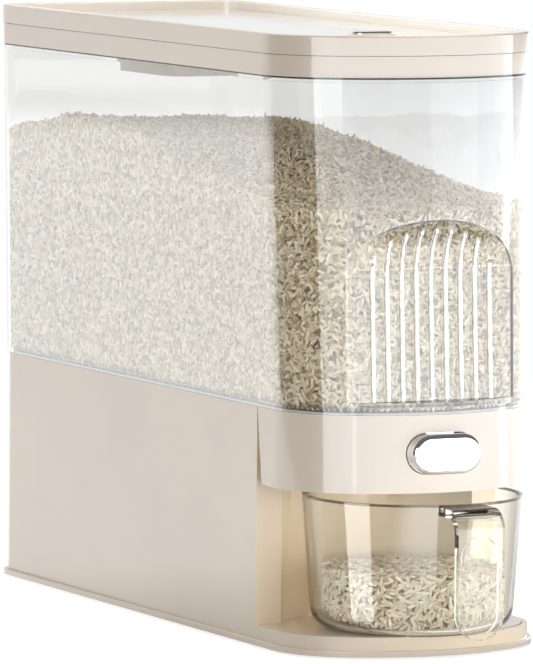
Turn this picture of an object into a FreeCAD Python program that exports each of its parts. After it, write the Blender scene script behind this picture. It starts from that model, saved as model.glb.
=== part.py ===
"""Gravity rice dispenser: a clear hopper on a moulded base, with a push button gate and a pull-out cup.

Frame: X to the right, Y to the rear, Z up, in millimetres.  The origin is on the ground under the
middle of the whole dispenser, handle and hinge included.  Pieces are drawn about the middle of the foot
plate and then moved by FRAME_Y.  Every driving size is a cell of the Sizes sheet; DERIVED cells follow them.
"""
import FreeCAD, Part
import math
import os
import re
import Sketcher

SIZES = {
    # heights of the stack, from the ground up
    "foot_height": 1.5, "plate_thickness": 3.6, "tray_height": 7.9, "niche_height": 83.2,
    "head_height": 45.2, "hopper_height": 194.4, "collar_height": 12.4, "lid_height": 11.5,
    # plan outline: straight sides, small rear corners, large front corners and a bowed front
    "front_radius": 52.3, "rear_radius": 16.8, "front_bow": 7.7,
    "base_top_width": 158.9, "base_top_front": 223.8, "base_rear": 227.6, "base_wall": 3.0,
    # how far each level stands out from the one that carries it, at the side, front and rear
    "base_flare": 0.35, "base_slope": 4.5, "plate_rim": 2.15, "plate_front_rim": 0.9,
    "plate_rear_rim": 1.6, "plate_edge": 0.8, "hopper_step": 1.15, "hopper_front_step": 1.2,
    "hopper_rear_step": 0.8, "hopper_flare": 2.8, "hopper_slope": 10.2, "lid_rim": 1.0,
    "lid_setback": 0.9, "lid_rear_rim": 0.2, "collar_inset": 0.4,
    "hopper_wall": 3.0, "strip_height": 4.2, "strip_inset": 0.4, "strip_wall": 2.4,
    "neck_inset": 3.6, "neck_height": 8.2, "neck_wall": 2.4,
    # base: niche, posts and the split line under the dispensing head
    "head_depth": 81.3, "head_lean": 6.2, "head_corner": 3.0, "head_floor": 2.5,
    "niche_gap": 12.5, "cup_advance": 6.6, "post_width": 5.0, "post_depth": 10.0,
    "rib_depth": 5.0, "rib_thickness": 3.0, "rib_pitch": 80.0, "rib_start": 85.0,
    "foot_radius": 9.0, "foot_inset_side": 22.0, "foot_inset_end": 70.0,
    "screw_radius": 1.5, "screw_head_radius": 3.0, "screw_head_height": 1.8, "screw_length": 8.0,
    "boss_radius": 5.0, "boss_height": 24.0, "screw_start": 160.0, "screw_pitch": 120.0,
    # funnel and gate
    "funnel_wall": 2.0, "funnel_flange": 2.5, "flange_width": 6.0, "flange_front_width": 30.0,
    "outlet_length": 44.0, "outlet_width": 10.0, "outlet_setback": 43.8, "outlet_corner": 4.0,
    "outlet_neck": 3.0, "gate_thickness": 2.0, "gate_plate": 2.5, "gate_window": 8.0,
    "gate_cover": 7.0, "gate_upright_width": 40.0, "gate_upright_height": 25.0,
    "rail_width": 3.0, "rail_height": 4.4, "rail_foot": 7.0, "foot_plate": 2.0,
    "seat_thickness": 2.0, "seat_height": 28.0, "guide_setback": 14.3, "guide_pitch": 33.0,
    # push button
    "button_drop": 22.4, "button_length": 44.4, "button_width": 23.4, "button_gap": 0.4,
    "button_proud": 8.0, "button_edge": 3.0, "lip_length": 18.0, "lip_height": 27.4,
    "lip_thickness": 1.5, "lip_gap": 0.9, "spring_radius": 5.5, "spring_wire": 1.0,
    "spring_turns": 5.0, "spring_peg": 3.0,
    # lid, hinge, latch
    "rim_width": 7.0, "lid_recess": 7.5, "lid_web": 2.0, "lid_skirt": 2.5, "panel_thickness": 2.0,
    "panel_step": 0.6, "panel_border": 9.0,
    "opening_inset": 12.0, "seal_width": 4.0, "seal_height": 1.2, "lid_edge": 1.0,
    "knuckle_radius": 3.4, "knuckle_length": 6.0, "hinge_distance": 90.0, "pin_radius": 1.5,
    "latch_setback": 85.4, "latch_length": 25.0, "latch_width": 12.0, "latch_proud": 1.6,
    "latch_boss_height": 4.5, "latch_boss_wall": 2.0, "latch_travel": 3.0, "latch_edge": 1.0,
    "stem_width": 8.0, "stem_depth": 5.0, "bolt_width": 16.0, "bolt_thickness": 3.0,
    "bolt_tail": 14.0, "channel_wall": 2.0, "channel_setback": 23.9, "latch_spring_radius": 1.2,
    "latch_spring_length": 12.0, "latch_spring_turns": 8.0, "latch_wire": 0.5,
    "drier_width": 52.0, "drier_length": 86.0, "drier_corner": 13.0, "drier_place": 129.0,
    "drier_drop": 30.0, "drier_wall": 1.6, "grille_thickness": 1.6, "grille_slot": 3.0,
    "grille_pitch": 8.0,
    # flat face and flutes moulded on the hopper's front
    "face_depth": 13.8, "face_foot": 3.0, "face_height": 74.4, "face_cove": 44.0,
    "flute_radius": 1.9, "flute_pitch": 9.5, "flute_count": 9, "flute_tip": 4.0,
    "flute_height": 102.5, "flute_arch": 30.0, "flute_share": 0.94, "flute_depth": 1.1,
    # measuring cup
    "cup_rim_radius": 64.5, "cup_foot_radius": 58.6, "cup_height": 78.7, "cup_wall": 2.2,
    "cup_floor": 3.0, "cup_corner": 13.0,
    "strap_width": 30.0, "strap_depth": 23.5, "strap_web": 2.4, "strap_rib": 5.0,
    "strap_rib_width": 3.0, "strap_bend": 13.0, "strap_drop": 1.2, "strap_end": 2.7,
    "strap_arm": 24.0,
    # clearances
    "running_gap": 0.3, "fit_gap": 0.3, "pin_gap": 0.05,
}

DERIVED = {
    "base_low_width": "base_top_width + 2 * base_flare",
    "base_low_front": "base_top_front + base_slope",
    "plate_width": "base_low_width + 2 * plate_rim",
    "plate_front": "base_low_front + plate_front_rim",
    "plate_rear": "base_rear + plate_rear_rim",
    "hopper_low_width": "base_top_width + 2 * hopper_step",
    "hopper_low_front": "base_top_front + hopper_front_step",
    "hopper_rear": "base_rear + hopper_rear_step",
    "hopper_top_width": "hopper_low_width + 2 * hopper_flare",
    "hopper_top_front": "hopper_low_front - hopper_slope",
    "lid_width": "hopper_top_width + 2 * lid_rim",
    "lid_front": "hopper_top_front - lid_setback",
    "lid_rear": "hopper_rear + lid_rear_rim",
    "niche_radius": "cup_rim_radius + niche_gap",
    "seam_plane": "base_top_front - head_depth",
    "outlet_place": "base_top_front - outlet_setback",
    "cup_place": "outlet_place + cup_advance",
    "guide_start": "base_top_front - guide_setback",
    "latch_place": "lid_front - latch_setback",
    "channel_front": "lid_front - channel_setback",
    "button_height": "foot_height + plate_thickness + tray_height + niche_height + head_height - button_drop",
}

doc = FreeCAD.newDocument("rice_dispenser")
sheet = doc.addObject("Spreadsheet::Sheet", "Sizes")
for row, (alias, content) in enumerate({**SIZES, **DERIVED}.items(), start=1):
    sheet.set("A%d" % row, alias)
    sheet.set("B%d" % row, "=%s" % content)
    sheet.setAlias("B%d" % row, alias)
doc.recompute()
probe = doc.addObject("App::FeaturePython", "Probe")


def bind(text):
    """Expression text with each sheet alias given its sheet; an alias is a word with an underscore."""
    return re.sub(r"[a-z]+(?:_[a-z]+)+", lambda found: "Sizes." + found.group(0), text)


def value(text):
    return float(probe.evalExpression(bind(text)))


# Levels of the stack.
PLATE_TOP = "(foot_height + plate_thickness)"
TRAY_TOP = "(foot_height + plate_thickness + tray_height)"
NICHE_TOP = "(foot_height + plate_thickness + tray_height + niche_height)"
SEAT = "(foot_height + plate_thickness + tray_height + niche_height + head_height)"
SHOULDER = "(%s + hopper_height)" % SEAT
SEAM = "(%s + collar_height)" % SHOULDER
LID_BOTTOM = "(%s + running_gap)" % SEAM
LID_TOP = "(%s + lid_height)" % LID_BOTTOM
WEB_TOP = "(%s - lid_recess)" % LID_TOP
WEB_BOTTOM = "(%s - lid_web)" % WEB_TOP
OUTLET_BOTTOM = "(%s + head_floor + gate_thickness + 2 * running_gap)" % NICHE_TOP
GATE_BOTTOM = "(%s + head_floor + running_gap)" % NICHE_TOP
FLANGE_LEVEL = "(%s - funnel_flange)" % SEAT

# Places across and along the part (the front is negative).
SCREW_X = "(base_top_width / 2 - base_wall / 2 - boss_radius)"
HINGE_Y = "(lid_rear + knuckle_radius + running_gap)"
FRAME_Y = "((cup_place + cup_rim_radius + strap_depth - %s - knuckle_radius) / 2)" % HINGE_Y
BASE_LEAN = "((base_low_front - base_top_front) / (%s - %s))" % (SEAT, PLATE_TOP)
BUTTON_WALL = "(base_top_front + (%s - button_height) * %s)" % (SEAT, BASE_LEAN)
BUTTON_BACK = "(%s - base_wall - lip_gap - lip_thickness)" % BUTTON_WALL
SPRING_FRONT = "(%s - gate_plate)" % BUTTON_BACK
FUNNEL_FRONT = "(base_top_front - flange_front_width)"
FLOOR_TOP = "(%s + head_floor)" % NICHE_TOP
GATE_SIDE = "(outlet_length / 2 + rail_width)"
RAIL_SIDE = "(%s + running_gap + rail_width)" % GATE_SIDE
GUIDE_X = "(%s + rail_foot / 2)" % RAIL_SIDE
BOLT_TOP = "(%s + neck_height - running_gap * 2)" % SHOULDER
SPRING_REAR = "(%s + funnel_wall + seat_thickness + 2 * running_gap)" % FUNNEL_FRONT

# The hopper's flat front face: its lean, and the start and the centre of the cove above it.
STRIP_TOP = "(%s + strip_height)" % SEAT
LEAN = "((hopper_low_front - hopper_top_front) / (hopper_height - strip_height))"
LEAN_COS = "(1 / sqrt(1 + %s * %s))" % (LEAN, LEAN)
COVE_START_Z = "(%s + face_height)" % STRIP_TOP
COVE_START_Y = "(face_depth + face_height * %s - hopper_low_front)" % LEAN
COVE_Y = "(%s - face_cove * %s)" % (COVE_START_Y, LEAN_COS)
COVE_Z = "(%s + face_cove * %s * %s)" % (COVE_START_Z, LEAN, LEAN_COS)


def origin_plane(owner, role):
    return [item for item in owner.Origin.OriginFeatures if item.Role == role][0]


def new_body(name):
    return doc.addObject("PartDesign::Body", name)


def new_sketch(owner, name, plane="XY_Plane", offset="0"):
    sketch = owner.newObject("Sketcher::SketchObject", name)
    sketch.AttachmentSupport = [(origin_plane(owner, plane), "")]
    sketch.MapMode = "FlatFace"
    sketch.setExpression("AttachmentOffset.Base.z", bind(offset))
    sketch.Visibility = False
    return sketch


def point(x, y):
    return FreeCAD.Vector(x, y, 0)


def dimension(sketch, kind, places, text):
    """A driving constraint bound to an expression; a negative one is written the other way round."""
    number = value(text)
    if number < 0 and kind in ("DistanceX", "DistanceY"):
        places = places[2:] + places[:2]
        text = "-(%s)" % text
        number = -number
    index = sketch.addConstraint(Sketcher.Constraint(kind, *places, number))
    sketch.setExpression("Constraints[%d]" % index, bind(text))


def put_point(sketch, geometry, end, x_text, y_text):
    dimension(sketch, "DistanceX", (-1, 1, geometry, end), x_text)
    dimension(sketch, "DistanceY", (-1, 1, geometry, end), y_text)


def swing(centre, start, end):
    """The arc about centre that runs counterclockwise from start to end."""
    radius = centre.distanceToPoint(start)
    first = math.atan2(start.y - centre.y, start.x - centre.x)
    last = math.atan2(end.y - centre.y, end.x - centre.x)
    if last <= first:
        last += 2 * math.pi
    return Part.ArcOfCircle(Part.Circle(centre, FreeCAD.Vector(0, 0, 1), radius), first, last)


def chain(sketch, items):
    """Adds a closed counterclockwise chain, each joint smooth."""
    sketch.addGeometry(items, False)
    for item in range(len(items)):
        sketch.addConstraint(Sketcher.Constraint("Tangent", item, 2, (item + 1) % len(items), 1))


def outline(owner, name, level, half, front, rear, corner, rear_corner):
    """Plan outline: straight sides, rear corners, large front corners tangent to a bowed front."""
    sketch = new_sketch(owner, name, offset=level)
    w, yf, yr = value(half), -value(front), value(rear)
    rf, rr, sag = value(corner), value(rear_corner), value("front_bow")
    run = w - rf
    reach = (run * run + sag * sag) / (2 * sag)
    left, right = point(-run, yf + sag + rf), point(run, yf + sag + rf)
    bow_centre = point(0, yf + reach + rf)
    right_touch = right + (right - bow_centre).normalize() * rf
    left_touch = left + (left - bow_centre).normalize() * rf
    rear_left, rear_right = point(-w + rr, yr - rr), point(w - rr, yr - rr)
    rise, across, back = point(0, rr), point(rr, 0), point(rf, 0)
    chain(sketch, [
        Part.LineSegment(rear_right + rise, rear_left + rise),
        swing(rear_left, rear_left + rise, rear_left - across),
        Part.LineSegment(rear_left - across, left - back),
        swing(left, left - back, left_touch),
        swing(bow_centre, left_touch, right_touch),
        swing(right, right_touch, right + back),
        Part.LineSegment(right + back, rear_right + across),
        swing(rear_right, rear_right + across, rear_right + rise),
    ])
    sketch.addConstraint(Sketcher.Constraint("Symmetric", 0, 1, 0, 2, -2))
    sketch.addConstraint(Sketcher.Constraint("Vertical", 2))
    sketch.addConstraint(Sketcher.Constraint("Vertical", 6))
    sketch.addConstraint(Sketcher.Constraint("Equal", 1, 7))
    sketch.addConstraint(Sketcher.Constraint("Equal", 3, 5))
    sketch.addConstraint(Sketcher.Constraint("PointOnObject", 4, 3, -2))
    dimension(sketch, "Radius", (1,), rear_corner)
    dimension(sketch, "Radius", (3,), corner)
    dimension(sketch, "DistanceX", (-1, 1, 6, 1), half)
    dimension(sketch, "DistanceY", (-1, 1, 0, 1), rear)
    dimension(sketch, "DistanceY", (-1, 1, 3, 3), "front_bow + (%s) - (%s)" % (corner, front))
    side_run = "((%s) - (%s))" % (half, corner)
    dimension(sketch, "Radius", (4,), "(%s * %s + front_bow * front_bow) / (2 * front_bow) + (%s)"
              % (side_run, side_run, corner))
    return sketch


def inset_outline(owner, name, level, width, front, rear, inset="0"):
    """The dispenser's outline at one level, set in from a face by a wall or a gap."""
    return outline(owner, name, level, "%s / 2 - (%s)" % (width, inset), "%s - (%s)" % (front, inset),
                   "%s - (%s)" % (rear, inset), "front_radius - (%s)" % inset,
                   "rear_radius - (%s)" % inset)


def rectangle(owner, name, plane, offset, left, right, low, high):
    sketch = new_sketch(owner, name, plane, offset)
    x0, x1, y0, y1 = value(left), value(right), value(low), value(high)
    corners = [point(x0, y0), point(x1, y0), point(x1, y1), point(x0, y1)]
    sketch.addGeometry([Part.LineSegment(corners[i], corners[(i + 1) % 4]) for i in range(4)], False)
    for i in range(4):
        sketch.addConstraint(Sketcher.Constraint("Coincident", i, 2, (i + 1) % 4, 1))
    for line, kind in ((0, "Horizontal"), (2, "Horizontal"), (1, "Vertical"), (3, "Vertical")):
        sketch.addConstraint(Sketcher.Constraint(kind, line))
    put_point(sketch, 0, 1, left, low)
    put_point(sketch, 1, 2, right, high)
    return sketch


def circle(owner, name, plane, offset, x_text, y_text, radius):
    sketch = new_sketch(owner, name, plane, offset)
    sketch.addGeometry(Part.Circle(point(value(x_text), value(y_text)), FreeCAD.Vector(0, 0, 1),
                                   value(radius)), False)
    if value(x_text) == 0:
        sketch.addConstraint(Sketcher.Constraint("PointOnObject", 0, 3, -2))
        dimension(sketch, "DistanceY", (-1, 1, 0, 3), y_text)
    else:
        put_point(sketch, 0, 3, x_text, y_text)
    dimension(sketch, "Radius", (0,), radius)
    return sketch


def slot(owner, name, plane, offset, middle, length, width, corner=None):
    """A bar centred on the local vertical axis at height middle; its ends are round unless corner is set."""
    sketch = new_sketch(owner, name, plane, offset)
    round_ends = corner is None
    corner = corner or "(%s) / 2" % width
    a, b, r, height = value(length) / 2, value(width) / 2, value(corner), value(middle)
    low_left, low_right = point(-a + r, height - b + r), point(a - r, height - b + r)
    high_left, high_right = point(-a + r, height + b - r), point(a - r, height + b - r)
    rise, across = point(0, r), point(r, 0)
    low = Part.LineSegment(low_left - rise, low_right - rise)
    high = Part.LineSegment(high_right + rise, high_left + rise)
    if round_ends:
        chain(sketch, [low, swing(low_right, low_right - rise, low_right + rise),
                       high, swing(low_left, low_left + rise, low_left - rise)])
        sketch.addConstraint(Sketcher.Constraint("Equal", 1, 3))
    else:
        chain(sketch, [low, swing(low_right, low_right - rise, low_right + across),
                       Part.LineSegment(low_right + across, high_right + across),
                       swing(high_right, high_right + across, high_right + rise),
                       high, swing(high_left, high_left + rise, high_left - across),
                       Part.LineSegment(high_left - across, low_left - across),
                       swing(low_left, low_left - across, low_left - rise)])
        for item in (3, 5, 7):
            sketch.addConstraint(Sketcher.Constraint("Equal", 1, item))
        sketch.addConstraint(Sketcher.Constraint("Vertical", 2))
        sketch.addConstraint(Sketcher.Constraint("Horizontal", 4))
        sketch.addConstraint(Sketcher.Constraint("Vertical", 6))
        dimension(sketch, "DistanceY", (2, 1, 2, 2), "(%s) - 2 * (%s)" % (width, corner))
    sketch.addConstraint(Sketcher.Constraint("Symmetric", 0, 1, 0, 2, -2))
    dimension(sketch, "Radius", (1,), corner)
    dimension(sketch, "DistanceX", (0, 1, 0, 2), "(%s) - 2 * (%s)" % (length, corner))
    dimension(sketch, "DistanceY", (-1, 1, 0, 1), "(%s) - (%s) / 2" % (middle, width))
    return sketch


def polygon(owner, name, plane, corners, offset="0"):
    """A closed chain of straight lines through corners, each a pair of expressions."""
    sketch = new_sketch(owner, name, plane, offset)
    places = [point(value(x), value(y)) for x, y in corners]
    count = len(places)
    sketch.addGeometry([Part.LineSegment(places[i], places[(i + 1) % count]) for i in range(count)],
                       False)
    for i in range(count):
        sketch.addConstraint(Sketcher.Constraint("Coincident", i, 2, (i + 1) % count, 1))
    for i, (x_text, y_text) in enumerate(corners):
        if places[i].x == 0:
            sketch.addConstraint(Sketcher.Constraint("PointOnObject", i, 1, -2))
            dimension(sketch, "DistanceY", (-1, 1, i, 1), y_text)
        else:
            put_point(sketch, i, 1, x_text, y_text)
    return sketch


def pad(owner, name, sketch, length, midplane=False, reverse=False):
    feature = owner.newObject("PartDesign::Pad", name)
    feature.Profile = sketch
    feature.setExpression("Length", bind(length))
    feature.Midplane = midplane
    feature.Reversed = reverse
    doc.recompute()
    return feature


def pocket(owner, name, sketch, length, midplane=False, reverse=False):
    """Cuts against the sketch's normal, or along it when reverse is set; it has to remove material."""
    before = owner.Shape.Volume
    feature = owner.newObject("PartDesign::Pocket", name)
    feature.Profile = sketch
    feature.setExpression("Length", bind(length))
    feature.Midplane = midplane
    feature.Reversed = reverse
    doc.recompute()
    if owner.Shape.Volume > before - 1e-3:
        raise ValueError("%s of %s cuts nothing" % (name, owner.Label))
    return feature


def loft(owner, name, low, high, additive=True):
    kind = "PartDesign::AdditiveLoft" if additive else "PartDesign::SubtractiveLoft"
    feature = owner.newObject(kind, name)
    feature.Profile = low
    feature.Sections = [high]
    feature.Ruled = True
    doc.recompute()
    return feature


def mirror(owner, name, features, role="YZ_Plane"):
    feature = owner.newObject("PartDesign::Mirrored", name)
    feature.Originals = features
    feature.MirrorPlane = (origin_plane(owner, role), [""])
    owner.Tip = feature
    doc.recompute()
    return feature


def repeat(owner, name, features, role, pitch, count, reverse=False):
    feature = owner.newObject("PartDesign::LinearPattern", name)
    feature.Originals = features
    feature.Direction = (origin_plane(owner, role), [""])
    feature.Reversed = reverse
    feature.Occurrences = count
    feature.setExpression("Length", bind("%s * %d" % (pitch, count - 1)))
    owner.Tip = feature
    doc.recompute()
    return feature


def dress(owner, kind, name, size, chosen):
    """Fillet or chamfer of the edges of the owner's shape that chosen accepts."""
    base = owner.Tip
    names = ["Edge%d" % (i + 1) for i, edge in enumerate(base.Shape.Edges) if chosen(edge)]
    feature = owner.newObject("PartDesign::" + kind, name)
    feature.Base = (base, names)
    feature.setExpression("Radius" if kind == "Fillet" else "Size", bind(size))
    doc.recompute()
    return feature


def flat_at(edge, axis, level):
    low, high = getattr(edge.BoundBox, axis + "Min"), getattr(edge.BoundBox, axis + "Max")
    return abs(low - level) < 1e-3 and abs(high - level) < 1e-3


def joined(kind, name, pieces):
    item = doc.addObject(kind, name)
    if kind == "Part::Cut":
        item.Base, item.Tool = pieces
    else:
        item.Shapes = pieces
    return item


def spread(owner, name, features, pitch, count):
    """Repeats features along Y and on the other side of the middle plane."""
    feature = owner.newObject("PartDesign::MultiTransform", name)
    feature.Originals = features
    row = owner.newObject("PartDesign::LinearPattern", name + "Row")
    row.Direction = (origin_plane(owner, "Y_Axis"), [""])
    row.Occurrences = count
    row.setExpression("Length", bind("%s * %d" % (pitch, count - 1)))
    sides = owner.newObject("PartDesign::Mirrored", name + "Sides")
    sides.MirrorPlane = (origin_plane(owner, "YZ_Plane"), [""])
    feature.Transformations = [row, sides]
    owner.Tip = feature
    doc.recompute()
    return feature


def base_shell(owner):
    """The flared wall that the housing and the head are both parts of."""
    low = ("base_low_width", "base_low_front", "base_rear")
    top = ("base_top_width", "base_top_front", "base_rear")
    loft(owner, owner.Label + "Shell", inset_outline(owner, "ShellFoot", PLATE_TOP, *low),
         inset_outline(owner, "ShellTop", SEAT, *top))
    loft(owner, owner.Label + "Hollow",
         inset_outline(owner, "HollowFoot", PLATE_TOP, *low, inset="base_wall"),
         inset_outline(owner, "HollowTop", SEAT, *top, inset="base_wall"), additive=False)


def front_outline(owner, name, level, rear):
    """The front of the outline, from the middle of the wall back to a straight rear edge."""
    return outline(owner, name, level, "base_top_width / 2 - base_wall / 2",
                   "base_top_front - base_wall / 4", rear, "front_radius - base_wall / 2",
                   "base_wall")


def base_housing():
    """Lower shell with the cup's niche, the tray under it, and ribs and posts for the funnel."""
    owner = new_body("base_housing")
    base_shell(owner)
    inner = "base_top_width / 2 - base_wall / 2"
    niche_rear = "niche_radius + base_wall - cup_place"
    pad(owner, "Tray", front_outline(owner, "TrayPlan", PLATE_TOP, niche_rear), "tray_height")
    block = rectangle(owner, "NichePlan", "XY_Plane", PLATE_TOP, "-(%s)" % inner, inner,
                      "-seam_plane", niche_rear)
    pad(owner, "NicheBlock", block, "tray_height + niche_height + base_wall")
    post = rectangle(owner, "PostPlan", "XY_Plane", NICHE_TOP, inner + " - post_width", inner,
                     "-seam_plane", "post_depth - seam_plane")
    mirror(owner, "Posts", [pad(owner, "Post", post, "head_height - funnel_flange")])
    rib = rectangle(owner, "RibPlan", "XY_Plane", PLATE_TOP, inner + " - rib_depth", inner,
                    "-rib_start", "rib_thickness - rib_start")
    spread(owner, "Ribs", [pad(owner, "Rib", rib, "%s - %s" % (FLANGE_LEVEL, PLATE_TOP))],
           "rib_pitch", 4)
    boss = circle(owner, "BossPlan", "XY_Plane", PLATE_TOP, SCREW_X, "screw_pitch - screw_start",
                  "boss_radius")
    spread(owner, "Bosses", [pad(owner, "Boss", boss, "boss_height")], "screw_pitch", 3)
    front = rectangle(owner, "FrontPlan", "XY_Plane", SEAT, "-base_low_width", "base_low_width",
                      "-base_low_front - base_wall", "-seam_plane")
    pocket(owner, "Front", front, "%s - %s" % (SEAT, TRAY_TOP))
    niche = circle(owner, "NicheRound", "XY_Plane", NICHE_TOP, "0", "-cup_place", "niche_radius")
    pocket(owner, "Niche", niche, "niche_height")
    pilot = circle(owner, "PilotPlan", "XY_Plane", PLATE_TOP, SCREW_X, "-screw_start",
                   "screw_radius + pin_gap")
    spread(owner, "Pilots", [pocket(owner, "Pilot", pilot, "screw_length - screw_head_height",
                                    reverse=True)], "screw_pitch", 4)
    return owner


def base_plate():
    """Foot flange that closes the housing from below, with countersunk holes for its screws."""
    owner = new_body("base_plate")
    plan = inset_outline(owner, "Plan", "foot_height", "plate_width", "plate_front", "plate_rear")
    pad(owner, "Plate", plan, "plate_thickness")
    dress(owner, "Fillet", "TopEdge", "plate_edge",
          lambda edge: flat_at(edge, "Z", value(PLATE_TOP)))
    hole = circle(owner, "HolePlan", "XY_Plane", "foot_height", SCREW_X, "-screw_start",
                  "screw_radius + fit_gap")
    spread(owner, "Holes", [pocket(owner, "Hole", hole, "plate_thickness", reverse=True)],
           "screw_pitch", 4)
    sink = circle(owner, "SinkPlan", "XY_Plane", "foot_height", SCREW_X, "-screw_start",
                  "screw_head_radius + fit_gap")
    spread(owner, "Sinks", [pocket(owner, "Sink", sink, "screw_head_height", reverse=True)],
           "screw_pitch", 4)
    return owner


def cylinder(name, radius, height, x_text, y_text, z_text, turn=None):
    """A cylinder that starts at a place and runs up, or along the axis that turn brings it to."""
    item = doc.addObject("Part::Cylinder", name)
    item.setExpression("Radius", bind(radius))
    item.setExpression("Height", bind(height))
    if turn:
        item.Placement.Rotation = turn
    item.setExpression("Placement.Base.x", bind(x_text))
    item.setExpression("Placement.Base.y", bind(y_text))
    item.setExpression("Placement.Base.z", bind(z_text))
    return item


def group(name, items):
    item = doc.addObject("Part::Compound", name)
    item.Links = items
    return item


def rubber_feet():
    """Four round pads under the plate."""
    feet = []
    for side in ("", "-"):
        for end in ("(plate_rear - foot_inset_end)", "(foot_inset_end - plate_front)"):
            feet.append(cylinder("Foot", "foot_radius", "foot_height",
                                 side + "(plate_width / 2 - foot_inset_side)", end, "0"))
    return group("rubber_feet", feet)


def screw(x_text, y_text, z_text, length, upward=True):
    """Pan head screw with its head's outer face at z."""
    turn = None if upward else FreeCAD.Rotation(FreeCAD.Vector(1, 0, 0), 180)
    head = cylinder("ScrewHead", "screw_head_radius", "screw_head_height", x_text, y_text, z_text, turn)
    shank = cylinder("ScrewShank", "screw_radius", length, x_text, y_text, z_text, turn)
    return joined("Part::MultiFuse", "Screw", [head, shank])


def base_screws():
    screws = []
    for side in ("", "-"):
        for row in range(4):
            screws.append(screw(side + SCREW_X, "screw_pitch * %d - screw_start" % row,
                                "foot_height", "screw_length"))
    return group("base_screws", screws)


def dispenser_head():
    """Front cover over the niche: bowed wall, leaning rear edge, floor, button hole and outlet."""
    owner = new_body("dispenser_head")
    base_shell(owner)
    under = rectangle(owner, "UnderPlan", "XY_Plane", NICHE_TOP, "-base_low_width", "base_low_width",
                      "-base_low_front - base_wall", "base_rear + base_wall")
    pocket(owner, "Under", under, "%s - %s" % (NICHE_TOP, PLATE_TOP))
    edge = "(seam_plane + running_gap)"
    behind = polygon(owner, "BehindSide", "YZ_Plane",
                     [("-%s" % edge, SEAT), ("-(%s + head_lean)" % edge, NICHE_TOP),
                      ("base_rear + base_wall", NICHE_TOP), ("base_rear + base_wall", SEAT)])
    pocket(owner, "Behind", behind, "base_low_width * 2", midplane=True)
    corner_y = -value("%s + head_lean" % edge)
    dress(owner, "Fillet", "LowCorner", "head_corner",
          lambda item: flat_at(item, "Y", corner_y) and flat_at(item, "Z", value(NICHE_TOP)))
    floor = front_outline(owner, "FloorPlan", NICHE_TOP, "-(%s + head_lean + head_corner)" % edge)
    pad(owner, "Floor", floor, "head_floor")
    hole = slot(owner, "ButtonHole", "XZ_Plane", "seam_plane", "button_height",
                "button_length + 2 * button_gap", "button_width + 2 * button_gap")
    pocket(owner, "ButtonCut", hole, "base_low_front", reverse=True)
    outlet = slot(owner, "OutletPlan", "XY_Plane", NICHE_TOP, "-outlet_place",
                  "outlet_length + funnel_wall", "outlet_width + funnel_wall", "outlet_corner")
    pocket(owner, "Outlet", outlet, "head_floor", reverse=True)
    pilot = circle(owner, "PilotPlan", "XY_Plane", NICHE_TOP, GUIDE_X, "-guide_start",
                   "screw_radius + pin_gap")
    cut = pocket(owner, "Pilot", pilot, "head_floor", reverse=True)
    spread(owner, "Pilots", [cut], "guide_pitch", 2)
    return owner


def funnel():
    """Sloping floor under the rice that ends in the outlet slot; its flange rests on the ribs."""
    owner = new_body("funnel")
    side = "base_wall + fit_gap + flange_width"

    def mouth(name, level, grow):
        return outline(owner, name, level, "base_top_width / 2 - (%s) + %s" % (side, grow),
                       "%s + %s" % (FUNNEL_FRONT, grow), "base_rear - (%s) + %s" % (side, grow),
                       "front_radius - (%s) + %s" % (side, grow),
                       "rear_radius - (%s) + %s" % (side, grow))

    def throat(name, level, grow):
        return slot(owner, name, "XY_Plane", level, "-outlet_place", "outlet_length + 2 * (%s)" % grow,
                    "outlet_width + 2 * (%s)" % grow, "outlet_corner")

    neck_top = "%s + outlet_neck" % OUTLET_BOTTOM
    loft(owner, "Outside", mouth("MouthOut", "%s - funnel_wall" % SEAT, "funnel_wall"),
         throat("ThroatOut", "%s - funnel_wall" % neck_top, "funnel_wall"))
    pad(owner, "Flange", inset_outline(owner, "FlangePlan", FLANGE_LEVEL, "base_top_width",
                                       "base_top_front", "base_rear", "base_wall + fit_gap"),
        "funnel_flange")
    pad(owner, "Neck", throat("NeckPlan", OUTLET_BOTTOM, "funnel_wall"), "outlet_neck")
    loft(owner, "Inside", mouth("MouthIn", SEAT, "0"), throat("ThroatIn", neck_top, "0"),
         additive=False)
    pocket(owner, "Outlet", throat("OutletPlan", neck_top, "0"), "outlet_neck + funnel_wall")
    return owner


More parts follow.
